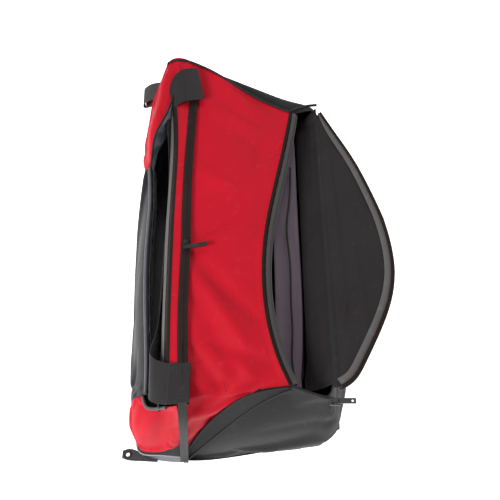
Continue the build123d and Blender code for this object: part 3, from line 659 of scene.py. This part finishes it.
def build_near_lobe():
    lobe = sew_panel("near_lobe_cloth", NEAR_LOBE, [RED, INSIDE], thickness=2.0, slack=0.02, pressure=2.0,
                     cap=0.006, out=(1, -1, 0.3),
                     folds=[((322, -132, 175), (350, -152, 80), 10, -4.0),
                            ((320, -150, 152), (342, -172, 108), 9, 3.5),
                            ((312, -172, 146), (338, -194, 70), 11, -2.5),
                            ((338, -112, 150), (352, -126, 90), 9, -2.5)])
    sewn_on(lobe, "shell", "red_nylon", "front_lobe_near")
    top = [(x, y, z + 1) for x, y, z in (row[0] for row in NEAR_LOBE[:-1])]
    binding = lead_cord("near_lobe_binding", top, 2.6, FACING)
    sewn_on(binding, "shell", "grey_binding")
    low = [mix((x + 2, y - 2, z), foot, share) for (x, y, z), foot, share in
           zip([row[-1] for row in NEAR_LOBE], CORNER_FOOT, WEDGE)]
    piping = lead_cord("near_lobe_piping", low, 1.2, PALE_PIPING)
    sewn_on(piping, "shell", "grey_binding")
    tops = [row[-1] for row in NEAR_LOBE]
    rows = [tops, [mix(a, b, 0.5) for a, b in zip(tops, CORNER_FOOT)], CORNER_FOOT]
    corner = sew_panel("lower_corner_vinyl", rows, [SLATE, INSIDE], thickness=2.4, out=(1, -1, 0))
    sewn_on(corner, "shell", "slate_vinyl", "lower_corner_panel")
    rows = [[(x + 1.2, y - 1.2, z) for x, y, z in tops], [mix(a, b, 0.5) for a, b in zip(tops, low)], low]
    rows[1] = [(x + 1.2, y - 1.2, z) for x, y, z in rows[1]]
    wedge = sew_panel("lower_corner_wedge", rows, [BLACK, INSIDE], thickness=2.0, out=(1, -1, 0))
    sewn_on(wedge, "shell", "black_nylon")


def build_pocket():
    """Slack black outer wall with a rolled top edge, which takes the lighter slate vinyl as a painted
    highlight, and a grey facing inside it.
    """
    rows = [[(x, y + 12, 146) for x, y in zip(POCKET_X, POCKET_TOP_Y)],
            [(x, y + 8, 155) for x, y in zip(POCKET_X, POCKET_TOP_Y)],
            [(x, y, 156) for x, y in zip(POCKET_X, POCKET_TOP_Y)],
            [(x, y - 9, 148) for x, y in zip(POCKET_X, POCKET_TOP_Y)],
            [(x, y, 112) for x, y in zip(POCKET_X, POCKET_BELLY_Y)],
            [(x, y, 50) for x, y in zip(POCKET_X, POCKET_BELLY_Y)],
            [(x, y + 10, 4) for x, y in zip(POCKET_X, POCKET_BELLY_Y)]]
    panel = sew_panel("pocket_outer_vinyl", rows, [VINYL, LID_LINING], thickness=1.8, slack=0.03,
                      pressure=1.0, cap=0.007, out=(0, -1, 0),
                      folds=[((-158, -200, 150), (-100, -208, 140), 7, -4.0),
                             ((-150, -206, 120), (-60, -212, 60), 10, -4.0),
                             ((210, -200, 150), (280, -190, 130), 7, 4.0),
                             ((200, -202, 120), (282, -192, 90), 9, -4.0),
                             ((30, -214, 140), (120, -208, 60), 12, -3.0)])
    sewn_on(panel, "shell", "black_vinyl", "pocket_panel")
    as_sheet(panel, rows, "stretched", "base_panel")
    # The rolled top edge is the same black vinyl; the lighter slate colour on it is a painted highlight
    # along its crest.
    roll = lead_cord("pocket_rolled_edge", [(x, y + 4, 157) for x, y in zip(POCKET_X, POCKET_TOP_Y)], 3.0,
                     SLATE)
    sewn_on(roll, "shell", "black_binding", "pocket_binding")
    rows = [[(x, y + 11, 154) for x, y in zip(POCKET_X, POCKET_TOP_Y)],
            [(x, y + 15, 144) for x, y in zip(POCKET_X, POCKET_TOP_Y)],
            [(x, y + 13, 128) for x, y in zip(POCKET_X, POCKET_TOP_Y)]]
    facing = sew_panel("pocket_facing_tape", rows, [FACING], thickness=1.2, slack=0.02, cap=0.003)
    sewn_on(facing, "shell", "grey_binding", "pocket_facing")


# ---------------------------------------------------------------- ends, back and base

NEAR_ROWS = [
    [(353, -117, 3), (354, -85, 3), (350, -45, 3), (343, 0, 3), (334, 55, 3), (329, 106, 3), (327, 145, 3),
     (252, 161, 3)],
    [(354, -117, 4), (352, -88, 26), (353, -46, 55), (351, 4, 72), (345, 60, 72), (339, 108, 70),
     (341, 150, 64), (252, 167, 68)],
    [(354, -116, 5), (348, -90, 46), (345, -47, 100), (342, 4, 140), (340, 62, 150), (338, 108, 148),
     (340, 144, 142), (252, 158, 142)],
    [(353, -116, 6), (340, -92, 64), (328, -47, 136), (318, 4, 188), (317, 58, 208), (328, 104, 207),
     (330, 131, 203), (252, 136, 203)],
    [NEAR_SEAM[0], NEAR_SEAM[1], NEAR_SEAM[2], NEAR_SEAM[3], NEAR_SEAM[4], (314, 92, 244), (324, 124, 244),
     (252, 127, 241)],
]

FAR_ROWS = [
    [(-386, -166, 221), (-393, -138, 221), (-384, -112, 213), (-355, -66, 214), (-318, -18, 208),
     (-280, 26, 212), (-248, 76, 219), (-258, 104, 219), (-262, 124, 218), (-238, 128, 219)],
    [(-380, -174, 190), (-394, -140, 200), (-392, -112, 200), (-380, -62, 210), (-355, -16, 213),
     (-330, 26, 220), (-292, 74, 227), (-284, 106, 226), (-276, 130, 214), (-248, 136, 203)],
    [(-373, -166, 125), (-388, -134, 130), (-386, -108, 130), (-380, -58, 130), (-364, -8, 130),
     (-342, 34, 130), (-324, 82, 135), (-316, 118, 135), (-306, 146, 135), (-262, 158, 140)],
    [(-367, -154, 60), (-377, -130, 60), (-376, -106, 60), (-374, -54, 60), (-366, -4, 60), (-350, 42, 60),
     (-338, 90, 60), (-332, 124, 60), (-322, 154, 60), (-272, 167, 68)],
    [(-358, -150, 3), (-360, -126, 3), (-360, -102, 3), (-360, -52, 3), (-354, -2, 3), (-346, 46, 3),
     (-338, 96, 3), (-330, 130, 3), (-318, 152, 3), (-280, 161, 3)],
]


def build_ends():
    near = sew_panel("near_end_cloth", NEAR_ROWS, [BLACK, INSIDE], thickness=2.5, slack=0.015, pressure=1.0,
                     cap=0.006, out=(1, 0, 0.2),
                     folds=[((346, 20, 120), (334, 140, 170), 14, -3.0),
                            ((345, 60, 60), (330, 140, 100), 12, 3.0),
                            ((335, 30, 190), (322, 120, 225), 9, -2.5)])
    sewn_on(near, "shell", "black_vinyl", "near_end_panel")
    inner_seam = [(352, -108, 12), (338, -70, 72), (316, -14, 152), (305, 32, 214), (302, 60, 240)]
    rows = [[mix(a, b, k / 3) for a, b in zip(NEAR_SEAM, inner_seam)] for k in range(4)]
    rows = [[(x + 4.0, y, z + 3.0) for x, y, z in row] for row in rows]
    band = sew_panel("near_band_cloth", rows, [BAND], thickness=2.0, out=(1, 0, 0.6))
    sewn_on(band, "shell", "black_nylon", "near_end_band")
    for name, line in (("near_seam_piping", NEAR_SEAM), ("near_band_piping", inner_seam)):
        cord = lead_cord(name, [(x + 4.5, y, z + 3.6) for x, y, z in line], 1.6, PIPING)
        sewn_on(cord, "shell", "black_binding")
    tucked = [[(x + 5, y, z - 3) for x, y, z in FAR_ROWS[0]]] + FAR_ROWS[1:]
    far = sew_panel("far_end_cloth", tucked, [BLACK, INSIDE], thickness=2.5, slack=0.02, pressure=1.0,
                    cap=0.006, out=(-1, 0, 0.1),
                    folds=[((-380, -60, 130), (-350, 40, 100), 14, -4.0),
                           ((-360, 40, 150), (-320, 120, 90), 12, 3.0)])
    sewn_on(far, "shell", "black_nylon", "far_end_panel")
    seam = [(-374, -164, 120), (-379, -170, 190), (-382, -162, 218), (-387, -138, 219)]
    seam += [(x + 2, y, z + 1) for x, y, z in FAR_SEAM]
    cord = lead_cord("far_seam_piping", seam, 2.3, PIPING)
    sewn_on(cord, "shell", "black_binding")


def build_back():
    xs = [0.0, 0.16, 0.33, 0.5, 0.67, 0.84, 1.0]
    lines = [((-238, 126, 219), (254, 126, 241)), ((-247, 134, 203), (254, 134, 203)),
             ((-262, 156, 140), (254, 156, 142)), ((-272, 167, 68), (254, 164, 68)),
             ((-280, 161, 3), (254, 160, 3))]
    rows = [[mix(a, b, share) for share in xs] for a, b in lines]
    panel = sew_panel("back_panel_cloth", rows, [RED, INSIDE], thickness=2.5, slack=0.01, cap=0.002,
                      levels=4, extra=0, out=(0, 1, 0),
                      folds=[((-200, 165, 60), (-60, 140, 190), 16, -4.0),
                             ((40, 160, 90), (180, 142, 180), 16, -4.0),
                             ((220, 162, 40), (280, 158, 150), 12, 3.0)])
    sewn_on(panel, "shell", "red_nylon", "back_panel")
    as_sheet(panel, rows, "stretched", "base_panel")


def build_base():
    """Coated base with a rolled edge, and piping where the walls are sewn to it."""
    ring = [(353, -117), (354, -85), (350, -45), (343, 0), (334, 55), (326, 112), (300, 160), (200, 161),
            (50, 161), (-100, 161), (-298, 161), (-328, 136), (-338, 96), (-346, 46), (-354, -2),
            (-360, -52), (-360, -102), (-357, -150), (-330, -178), (-296, -192), (-262, -200), (-200, -200),
            (-100, -200), (0, -204), (100, -203), (200, -192), (292, -197), (323, -199), (346, -188),
            (354, -160)]
    bpy.ops.object.select_all(action="DESELECT")
    bpy.ops.mesh.primitive_circle_add(vertices=len(ring), radius=1, fill_type="NGON")
    piece = bpy.context.object
    piece.name = "base_vinyl"
    for vertex, (x, y) in zip(piece.data.vertices, ring):
        vertex.co = Vector((x, y, 0.4)) * MM
    bpy.ops.object.mode_set(mode="EDIT")
    bpy.ops.mesh.select_all(action="SELECT")
    bpy.ops.mesh.inset(thickness=0.012)
    bpy.ops.mesh.select_all(action="SELECT")
    bpy.ops.mesh.extrude_region_move(TRANSFORM_OT_translate={"value": (0, 0, 3.2 * MM)})
    bpy.ops.mesh.select_all(action="SELECT")
    bpy.ops.mesh.normals_make_consistent(inside=False)
    bpy.ops.object.mode_set(mode="OBJECT")
    apply_modifier(piece, "BEVEL", width=1.2 * MM, segments=3, limit_method="ANGLE")
    piece.data.materials.append(SLATE)
    only(piece)
    bpy.ops.object.shade_smooth_by_angle(angle=math.radians(50))
    sewn_on(piece, "shell", "slate_vinyl", "base_panel")
    edge = lead_cord("base_piping", [(x, y, 3.4) for x, y in ring], 1.9, PIPING, closed=True)
    sewn_on(edge, "shell", "black_binding")


# ---------------------------------------------------------------- mouth and lid

def inset_line(points, distance):
    """Flat line moved sideways: to the left of its run when the distance is positive."""
    moved = []
    for index, (x, y) in enumerate(points):
        a = points[max(index - 1, 0)]
        b = points[min(index + 1, len(points) - 1)]
        run = Vector((b[0] - a[0], b[1] - a[1])).normalized()
        moved.append((x - run.y * distance, y + run.x * distance))
    return moved


def rim_offset(distance, drop):
    """The mouth's edge moved into the opening, and down."""
    line = inset_line([(x, y) for x, y, z in RIM_LINE], distance)
    return [(x, y, z - drop) for (x, y), (_, _, z) in zip(line, RIM_LINE)]


def build_mouth(front):
    rows = [rim_offset(-1.0, -0.6), rim_offset(2.0, -1.4), rim_offset(5.0, 0.6), rim_offset(6.0, 3.0)]
    tape = sew_panel("mouth_zip_tape", rows, [ZIP_CLOTH], thickness=1.2)
    sewn_on(tape, "shell", "zip_tape", "mouth_tape")
    rows = [rim_offset(5.5, 2.0), rim_offset(11.0, 3.4), rim_offset(15.0, 7.0), rim_offset(16.0, 13.0)]
    facing = sew_panel("mouth_facing_tape", rows, [FACING], thickness=1.2, slack=0.01, cap=0.002)
    sewn_on(facing, "shell", "grey_binding", "mouth_facing")
    near_edge = [(300, 58, 243), (309, 80, 244), (317, 103, 244.5), (322, 127, 244)]
    far_edge = [(-248, 76, 219), (-256, 92, 220), (-262, 112, 221), (-263, 128, 221)]
    for name, line in (("mouth_near_binding", near_edge), ("mouth_far_binding", far_edge)):
        cord = lead_cord(name, line, 2.6, PIPING)
        sewn_on(cord, "shell", "black_binding")
    crest = [(x, y, z + 1.6) for x, y, z in reversed(rim_offset(3.4, 0))]
    teeth = stitch_row("mouth_zip_teeth", crest, ZIP_TEETH, step=2.6, length=1.5, radius=1.0, lift=0.2)
    sewn_on(teeth, "shell", "zip_teeth", "mouth_teeth")
    row = stitch_row("mouth_topstitch", rim_offset(-5.0, -0.5), RED_THREAD, front)
    sewn_on(row, "shell", "black_binding")


LID_EDGE = [(-240, 8), (-190, 28), (-141, 49), (-95, 66), (-50, 79), (20, 98), (80, 104.5), (125, 104),
            (170, 94), (215, 74), (258, 50), (287, 34), (299, 22), (306, 8)]
LID_TURN = math.radians(14)


def lid_point(s, w, lift=0.0):
    """Point of the open lid: s along the hinge, w out from it, lift above its middle layer."""
    y = 127.5 + w * math.cos(LID_TURN) - lift * math.sin(LID_TURN)
    z = 233 + SLOPE * s + w * math.sin(LID_TURN) + lift * math.cos(LID_TURN)
    return (s, y, z)


def lid_cage(lift, inset=0.0, sag=0.0, shares=(0.0, 0.2, 0.45, 0.7, 0.9, 1.0)):
    edge = inset_line(LID_EDGE, -inset) if inset else LID_EDGE
    rows = []
    for share in shares:
        row = []
        for s, w in edge:
            start = min(3.0, w * 0.4)
            reach = start + (w - start) * share
            dip = sag * math.sin(math.pi * share) * min(1.0, w / 60)
            rise = lift if lift < 2 else 2.0 + (lift - 2.0) * min(1.0, share * 4)
            row.append(lid_point(s, reach, rise - dip))
        rows.append(row)
    return rows


def build_lid():
    skin_rows = lid_cage(-2.6)
    skin = sew_panel("lid_skin_cloth", skin_rows, [BLACK], thickness=1.2, slack=0.01, cap=0.002,
                     out=(0, 0, -1))
    sewn_on(skin, "lid", "black_nylon", "lid_skin")
    as_sheet(skin, skin_rows, "stretched", "lid_foam")
    foam_rows = lid_cage(-0.8, 2.0)
    foam = sew_panel("lid_foam_sheet", foam_rows, [FOAM], thickness=1.4, extra=0)
    sewn_on(foam, "lid", "foam", "lid_foam")
    lining_rows = lid_cage(4.2, 10.0)
    lining = sew_panel(
        "lid_lining_cloth", lining_rows, [LID_LINING], thickness=1.0, slack=0.02, cap=0.002,
        folds=[(lid_point(-200, 12, 4), lid_point(180, 20, 4), 7, 3.0),
               (lid_point(-140, 22, 4), lid_point(100, 34, 4), 8, -1.4),
               (lid_point(-60, 44, 4), lid_point(60, 84, 4), 12, 2.4),
               (lid_point(60, 40, 4), lid_point(230, 52, 4), 9, 2.6),
               (lid_point(120, 16, 4), lid_point(150, 60, 4), 7, -1.4),
               (lid_point(175, 20, 4), lid_point(215, 14, 4), 6, 3.4),
               (lid_point(-20, 60, 4), lid_point(140, 88, 4), 14, -1.4),
               (lid_point(-150, 10, 4), lid_point(-100, 50, 4), 9, 2.2)])
    sewn_on(lining, "lid", "lining_black", "lid_lining")
    as_sheet(lining, lining_rows, "stretched", "lid_foam")

    def edge_rows(cuts):
        return [[lid_point(s, max(w, 1.5), lift) for s, w in inset_line(LID_EDGE, -cut)]
                for cut, lift in cuts]

    facing = sew_panel("lid_facing_tape", edge_rows([(4.5, 2.4), (7.0, 5.6), (12.0, 6.6), (15.0, 6.0)]),
                       [FACING], thickness=1.2)
    sewn_on(facing, "lid", "grey_binding", "lid_facing")
    tape = sew_panel("lid_zip_tape", edge_rows([(-0.6, -2.6), (-1.0, 1.0), (0.5, 3.2), (5.0, 3.4)]),
                     [ZIP_CLOTH], thickness=1.2)
    sewn_on(tape, "lid", "zip_tape", "lid_tape")
    teeth = stitch_row("lid_zip_teeth", [lid_point(s, w, 3.0) for s, w in inset_line(LID_EDGE, -1.2)],
                       ZIP_TEETH, step=2.6, length=1.5, radius=1.0, lift=0.1)
    sewn_on(teeth, "lid", "zip_teeth")
    seam = [lid_point(s, max(w, 2), 4.4) for s, w in inset_line(LID_EDGE, -13.0)]
    row = stitch_row("lid_topstitch", seam, THREAD)
    sewn_on(row, "lid", "black_binding")


def build_hinge_fold():
    """Strip of cloth that the lid turns on."""
    xs = [-236, -120, 0, 110, 220, 304]
    rows = [[(x, 122.5, 231.5 + SLOPE * x) for x in xs], [(x, 126, 233.0 + SLOPE * x) for x in xs],
            [(x, 131.5, 235.0 + SLOPE * x) for x in xs]]
    fold_strip = sew_panel("lid_hinge_fold", rows, [BLACK], thickness=1.0)
    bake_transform(fold_strip)


def rim_y(x):
    """Where the mouth's front edge lies at a station."""
    for a, b in zip(RIM_LINE, RIM_LINE[1:]):
        if a[0] <= x <= b[0]:
            return a[1] + (b[1] - a[1]) * (x - a[0]) / (b[0] - a[0])
    return 76


def build_mesh_pocket():
    """Slack mesh pocket inside the back wall, with an elastic near its edge."""
    xs = [-250, -200, -130, -68, 0, 70, 136, 200, 250, 285]
    lens = [80, 84, 86, 87, 88, 89, 89, 88, 84, 78]
    ridge = [(x, y + 8, 191) for x, y in zip(xs, lens)]
    low = [(x, y - 10, 168) for x, y in zip(xs, lens)]
    front = [(x, max(y - 46, rim_y(x) + 8), 196) for x, y in zip(xs, lens)]
    middle = [mix(a, b, 0.5) for a, b in zip(ridge, front)]
    middle = [(x, y, z - 6) for x, y, z in middle]
    rows = [front, middle, ridge, low, [(x, y + 4, 130) for x, y in zip(xs, lens)]]
    piece = sew_panel("inner_mesh_pocket", rows, [MAUVE, INSIDE], thickness=1.4, slack=0.02, cap=0.004)
    sewn_on(piece, "shell", "lining_grey", "inner_pocket")
    as_sheet(piece, rows, "hung", "back_panel")
    wave = [0, 3, -2, 4, -3, 3, 1, 4, -2, 0]
    line = [(x, mix(a, b, 0.42)[1] + w, 199) for x, a, b, w in zip(xs, front, ridge, wave)]
    cord = lead_cord("inner_pocket_elastic", line[2:], 1.6, PIPING)
    sewn_on(cord, "shell", "black_binding")


def build_back_lining():
    """Slack lining between the hinge and the mesh pocket, with folds that run along the bag."""
    xs = [-256, -200, -130, -68, 0, 70, 136, 200, 250, 296]
    hinge = [(x, 125, 231 + SLOPE * x) for x in xs]
    rows = [hinge, [(x, y - 9, z - 15) for x, y, z in hinge], [(x, y - 17, z - 31) for x, y, z in hinge],
            [(x, y - 40, z - 44) for x, y, z in hinge], [(x, y - 40, z - 70) for x, y, z in hinge],
            [(x, y - 10, z - 110) for x, y, z in hinge]]
    piece = sew_panel("back_lining_cloth", rows, [LID_LINING, INSIDE], thickness=1.2, slack=0.03, cap=0.005,
                      out=(0, -1, 1),
                      folds=[((-220, 112, 205), (120, 108, 214), 6, 3.5),
                             ((-160, 104, 196), (200, 100, 206), 7, -3.0),
                             ((60, 116, 224), (250, 106, 214), 6, 3.0),
                             ((-60, 100, 190), (60, 112, 222), 8, 2.5),
                             ((150, 116, 228), (180, 98, 196), 6, -3.0)])
    sewn_on(piece, "shell", "lining_black")
    as_sheet(piece, rows, "hung", "back_panel")


# ---------------------------------------------------------------- zipper, straps and hardware

def build_front_zipper():
    line = ZIP_LINE + [(321, -98, 216)]
    left = [(x, y - 8.4, z - 0.2) for x, y, z in line]
    right = [(x, y + 8.4, z + 3.6) for x, y, z in line]
    rows = [left, [mix(a, b, 0.25) for a, b in zip(left, right)],
            [(x, y, z + 1.0) for x, y, z in (mix(a, b, 0.5) for a, b in zip(left, right))],
            [mix(a, b, 0.75) for a, b in zip(left, right)], right]
    rows = [[(x, y, z + 0.9) for x, y, z in row] for row in rows]
    tape = sew_panel("front_zip_cloth", rows, [ZIP_CLOTH], thickness=1.0)
    sewn_on(tape, "shell", "zip_tape", "front_zip_tape")
    coil = stitch_row("front_zip_teeth", [(x, y, z + 3.0) for x, y, z in line], ZIP_TEETH, tape, step=2.4,
                      length=1.5, radius=1.5, lift=0.2)
    sewn_on(coil, "shell", "zip_teeth", "front_zip_coil")
    for name, shift in (("zip_stitch_left", -6.0), ("zip_stitch_right", 6.0)):
        row = stitch_row(name, [(x, y + shift, z + 2) for x, y, z in line], THREAD, tape)
        sewn_on(row, "shell", "black_binding")


FAR_A = [(-360, -105, 217), (-360, -116, 216), (-358, -130, 217), (-348, -146, 217), (-326, -158, 211),
         (-296, -160, 200), (-268, -162, 192), (-240, -162, 184), (-205, -158, 176), (-150, -154, 170),
         (-80, -152, 164), (0, -152, 158), (80, -152, 158), (150, -152, 164), (195, -153, 180),
         (222, -158, 196), (240, -158, 206), (252, -142, 211), (257, -124, 216), (258, -106, 219),
         (258, -90, 222)]
FAR_B = [(-284, -88, 211), (-284, -108, 207), (-282, -126, 206), (-277, -142, 202), (-268, -150, 192),
         (-258, -152, 178), (-244, -152, 160), (-222, -151, 148), (-190, -150, 138), (-145, -150, 130),
         (-80, -150, 118), (0, -150, 112), (80, -150, 112), (160, -150, 116), (225, -151, 136),
         (284, -156, 176), (310, -156, 200), (318, -142, 210), (321, -124, 216), (321, -106, 219),
         (320, -90, 222)]


def build_handles():
    """Front carry handle: sewn ends, a twist, and its middle dropped into the open pocket."""
    patches = (("far_handle_end", FAR_A[:3], FAR_B[:3], "front_patch_far"),
               ("near_handle_end", FAR_A[-3:], FAR_B[-3:], "front_patch_near"))
    for name, a, b, node in patches:
        a = [(x, y, z + 4.4) for x, y, z in a]
        b = [(x, y, z + 4.4) for x, y, z in b]
        piece = strap(name, a, b, WEBBING, thickness=2.2)
        sewn_on(piece, "shell", "webbing", node)
        edge = [mix(a[0], b[0], 0.07), mix(a[0], b[0], 0.93), mix(a[-1], b[-1], 0.93),
                mix(a[-1], b[-1], 0.07), mix(a[0], b[0], 0.07)]
        if node == "front_patch_near":
            edge = [mix(a[-1], b[-1], 0.07), mix(a[-1], b[-1], 0.93), mix(a[0], b[0], 0.93),
                    mix(a[0], b[0], 0.07), mix(a[-1], b[-1], 0.07)]
        inset = [mix(p, mix(edge[0], edge[2], 0.5), 0.1) for p in edge]
        box = stitch_row(name + "_stitches", inset + [inset[2]], THREAD, piece, lift=0.2)
        sewn_on(box, "shell", "black_binding")
    piece = strap("front_handle_webbing", [(x, y, z + 3.6) for x, y, z in FAR_A[2:-2]],
                  [(x, y, z + 3.6) for x, y, z in FAR_B[2:-2]], WEBBING, thickness=2.2)
    sewn_on(piece, "front_handle", "webbing", "front_handle")
    rows = [[(x, -151 - 6 * math.cos(turn), 138 + 20 * math.sin(turn)) for turn in
             [math.pi * 2 * k / 12 for k in range(13)]] for x in (2, 40, 80, 120, 143)]
    grip = sew_panel("handle_grip_wrap", rows, [WEBBING], thickness=1.6, levels=2, extra=0)
    sewn_on(grip, "front_handle", "webbing")


def build_rear_handle():
    side, half, y = 150, 25, 169.6
    a, b = [], []
    for share in range(13):
        turn = math.pi * share / 12
        out = (math.cos(turn), math.sin(turn))
        a.append((-(side + half) * max(-1, min(1, out[0] * 1.08)), y, 112 - 88 * out[1] ** 0.7))
        b.append((-(side - half) * max(-1, min(1, out[0] * 1.08)), y, 112 - 42 * out[1] ** 0.7))
    piece = strap("rear_handle_webbing", a, b, WEBBING, thickness=2.4)
    sewn_on(piece, "rear_handle", "webbing", "rear_handle")
    for name, x in (("rear_patch_near", 150), ("rear_patch_far", -150)):
        rows_a = [(x - 25, 170, 111), (x - 25, 161, 132), (x - 25, 152, 153)]
        rows_b = [(x + 25, 170, 111), (x + 25, 161, 132), (x + 25, 152, 153)]
        patch = strap(name + "_webbing", rows_b, rows_a, WEBBING, thickness=2.2)
        sewn_on(patch, "shell", "webbing", name)
        box = stitch_row(name + "_stitches", [(x - 20, 169, 115), (x + 20, 169, 115), (x + 20, 154, 148),
                                              (x - 20, 154, 148), (x - 20, 169, 115), (x + 20, 154, 148)],
                         THREAD, patch, lift=0.2)
        sewn_on(box, "shell", "black_binding")


def build_corner_strap():
    a = [(318, -107, 219), (334, -108, 194), (341, -110, 155), (346, -113, 105), (351, -117, 55),
         (357, -120, 4)]
    b = [(318, -93, 222), (336, -94, 194), (345, -96, 155), (349, -99, 105), (353, -103, 55),
         (358, -106, 4)]
    piece = strap("corner_strap_webbing", [(x + 2, y, z + 2) for x, y, z in b],
                  [(x + 2, y, z + 2) for x, y, z in a], WEBBING, thickness=2.0)
    sewn_on(piece, "shell", "webbing", "corner_strap")
    for name, shift in (("strap_stitch_left", 0.14), ("strap_stitch_right", 0.86)):
        row = stitch_row(name, [mix(p, q, shift) for p, q in zip(a, b)], THREAD, piece)
        sewn_on(row, "shell", "black_binding")


def punch(piece, place, radius):
    """Round hole straight down through a piece."""
    bpy.ops.object.select_all(action="DESELECT")
    bpy.ops.mesh.primitive_cylinder_add(vertices=32, radius=radius * MM, depth=0.05,
                                        location=Vector(place) * MM)
    cutter = bpy.context.object
    apply_modifier(piece, "BOOLEAN", operation="DIFFERENCE", object=cutter, solver="EXACT")
    bpy.data.objects.remove(cutter)


def build_rivet():
    """Domed rivet through the foot of the corner strap."""
    bpy.ops.object.select_all(action="DESELECT")
    bpy.ops.mesh.primitive_cylinder_add(vertices=24, radius=4.4 * MM, depth=2.4 * MM)
    piece = bpy.context.object
    piece.name = "corner_rivet_cap"
    bpy.ops.object.mode_set(mode="EDIT")
    bpy.ops.mesh.select_mode(type="FACE")
    bpy.ops.mesh.select_all(action="DESELECT")
    bpy.ops.object.mode_set(mode="OBJECT")
    for polygon in piece.data.polygons:
        polygon.select = polygon.normal.z > 0.9
    bpy.ops.object.mode_set(mode="EDIT")
    bpy.ops.mesh.inset(thickness=1.5 * MM, depth=0.7 * MM)
    bpy.ops.mesh.inset(thickness=1.4 * MM, depth=0.4 * MM)
    bpy.ops.object.mode_set(mode="OBJECT")
    apply_modifier(piece, "BEVEL", width=0.5 * MM, segments=2, limit_method="ANGLE")
    piece.rotation_euler = (0, math.radians(88), 0)
    piece.location = Vector((362.6, -112, 22)) * MM
    only(piece)
    bpy.ops.object.transform_apply(location=True, rotation=True, scale=True)
    piece.data.materials.append(NICKEL)
    bpy.ops.object.shade_smooth_by_angle(angle=math.radians(40))
    sewn_on(piece, "shell", "nickel", "corner_rivet")


def build_tabs():
    """Tab with an eyelet at the near front corner, and the far tab folded round its ring."""
    a = [(345, -160, 3.8), (344, -180, 3.6), (341, -192, 3.2), (336, -202, 3.0), (334, -213, 2.8),
         (338, -223, 2.8)]
    b = [(358, -160, 3.8), (357, -180, 3.6), (356, -192, 3.2), (356, -202, 3.0), (355, -213, 2.8),
         (351, -223, 2.8)]
    tab = strap("corner_tab_webbing", a, b, TAB_WEBBING, thickness=1.6)
    punch(tab, (345, -213, 3), 4.6)
    sewn_on(tab, "shell", "webbing", "corner_tab")
    a = [(-366, -184, 176), (-362, -202, 177), (-356, -214, 172), (-353, -219, 166), (-353, -214, 161),
         (-357, -202, 163), (-362, -188, 164)]
    b = [(x + 34, y - 1, z - 12) for x, y, z in a]
    tab = strap("ring_tab_webbing", a, b, TAB_WEBBING, thickness=1.8)
    sewn_on(tab, "shell", "webbing", "ring_tab")


def dress(nodes, material):
    for name in nodes:
        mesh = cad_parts[name].data
        mesh.materials.clear()
        mesh.materials.append(material)


def dress_hardware():
    dress(("front_slider", "front_link", "front_pull", "main_slider", "main_pull", "tab_grommet"),
          DARK_METAL)
    dress(("far_ring",), NICKEL)
    dress(("base_board",), BOARD)


# ---------------------------------------------------------------- studio

def build_studio():
    bpy.context.scene.view_settings.view_transform = "Standard"
    world = bpy.data.worlds.new("studio")
    bpy.context.scene.world = world
    world.use_nodes = True
    world.node_tree.nodes["Background"].inputs["Color"].default_value = (1, 1, 1, 1)
    world.node_tree.nodes["Background"].inputs["Strength"].default_value = 0.38
    bpy.ops.object.select_all(action="DESELECT")
    bpy.ops.mesh.primitive_plane_add(size=14, location=(0, 0, -0.0015))
    floor = bpy.context.object
    floor.name = "studio_floor"
    paper = bpy.data.materials.new("white_paper")
    paper.use_nodes = True
    shader = paper.node_tree.nodes["Principled BSDF"]
    shader.inputs["Base Color"].default_value = (0.96, 0.96, 0.96, 1)
    shader.inputs["Roughness"].default_value = 0.9
    shader.inputs["Emission Color"].default_value = (1, 1, 1, 1)
    shader.inputs["Emission Strength"].default_value = 1.1
    floor.data.materials.append(paper)
    for name, place, energy, size in (("key", (1.0, -1.5, 1.3), 38, 0.9), ("fill", (0.6, 1.8, 1.8), 8, 2.0),
                                      ("top", (-1.1, 0.2, 1.8), 14, 1.2)):
        light = bpy.data.lights.new(name, "AREA")
        light.energy = energy
        light.size = size
        lamp = bpy.data.objects.new(name, light)
        bpy.context.scene.collection.objects.link(lamp)
        lamp.location = place
        lamp.rotation_euler = (Vector((0, 0, 0.1)) - lamp.location).to_track_quat("-Z", "Y").to_euler()


def place_camera():
    target = Vector((0, 0, 0.12))
    rise = math.radians(60)
    distance = 1.22
    data = bpy.data.cameras.new("camera")
    data.angle = math.radians(41.6)
    camera = bpy.data.objects.new("camera", data)
    bpy.context.scene.collection.objects.link(camera)
    camera.location = target + Vector((math.cos(rise), 0, math.sin(rise))) * distance
    camera.rotation_euler = (target - camera.location).to_track_quat("-Z", "Y").to_euler()
    bpy.context.scene.camera = camera


place_camera()
build_studio()
front_cloth = build_front()
build_gap_edge()
build_far_lobe()
build_near_lobe()
build_pocket()
build_ends()
build_back()
build_base()
build_mouth(front_cloth)
build_lid()
build_hinge_fold()
build_back_lining()
build_mesh_pocket()
build_front_zipper()
build_handles()
build_rear_handle()
build_corner_strap()
build_rivet()
build_tabs()
dress_hardware()
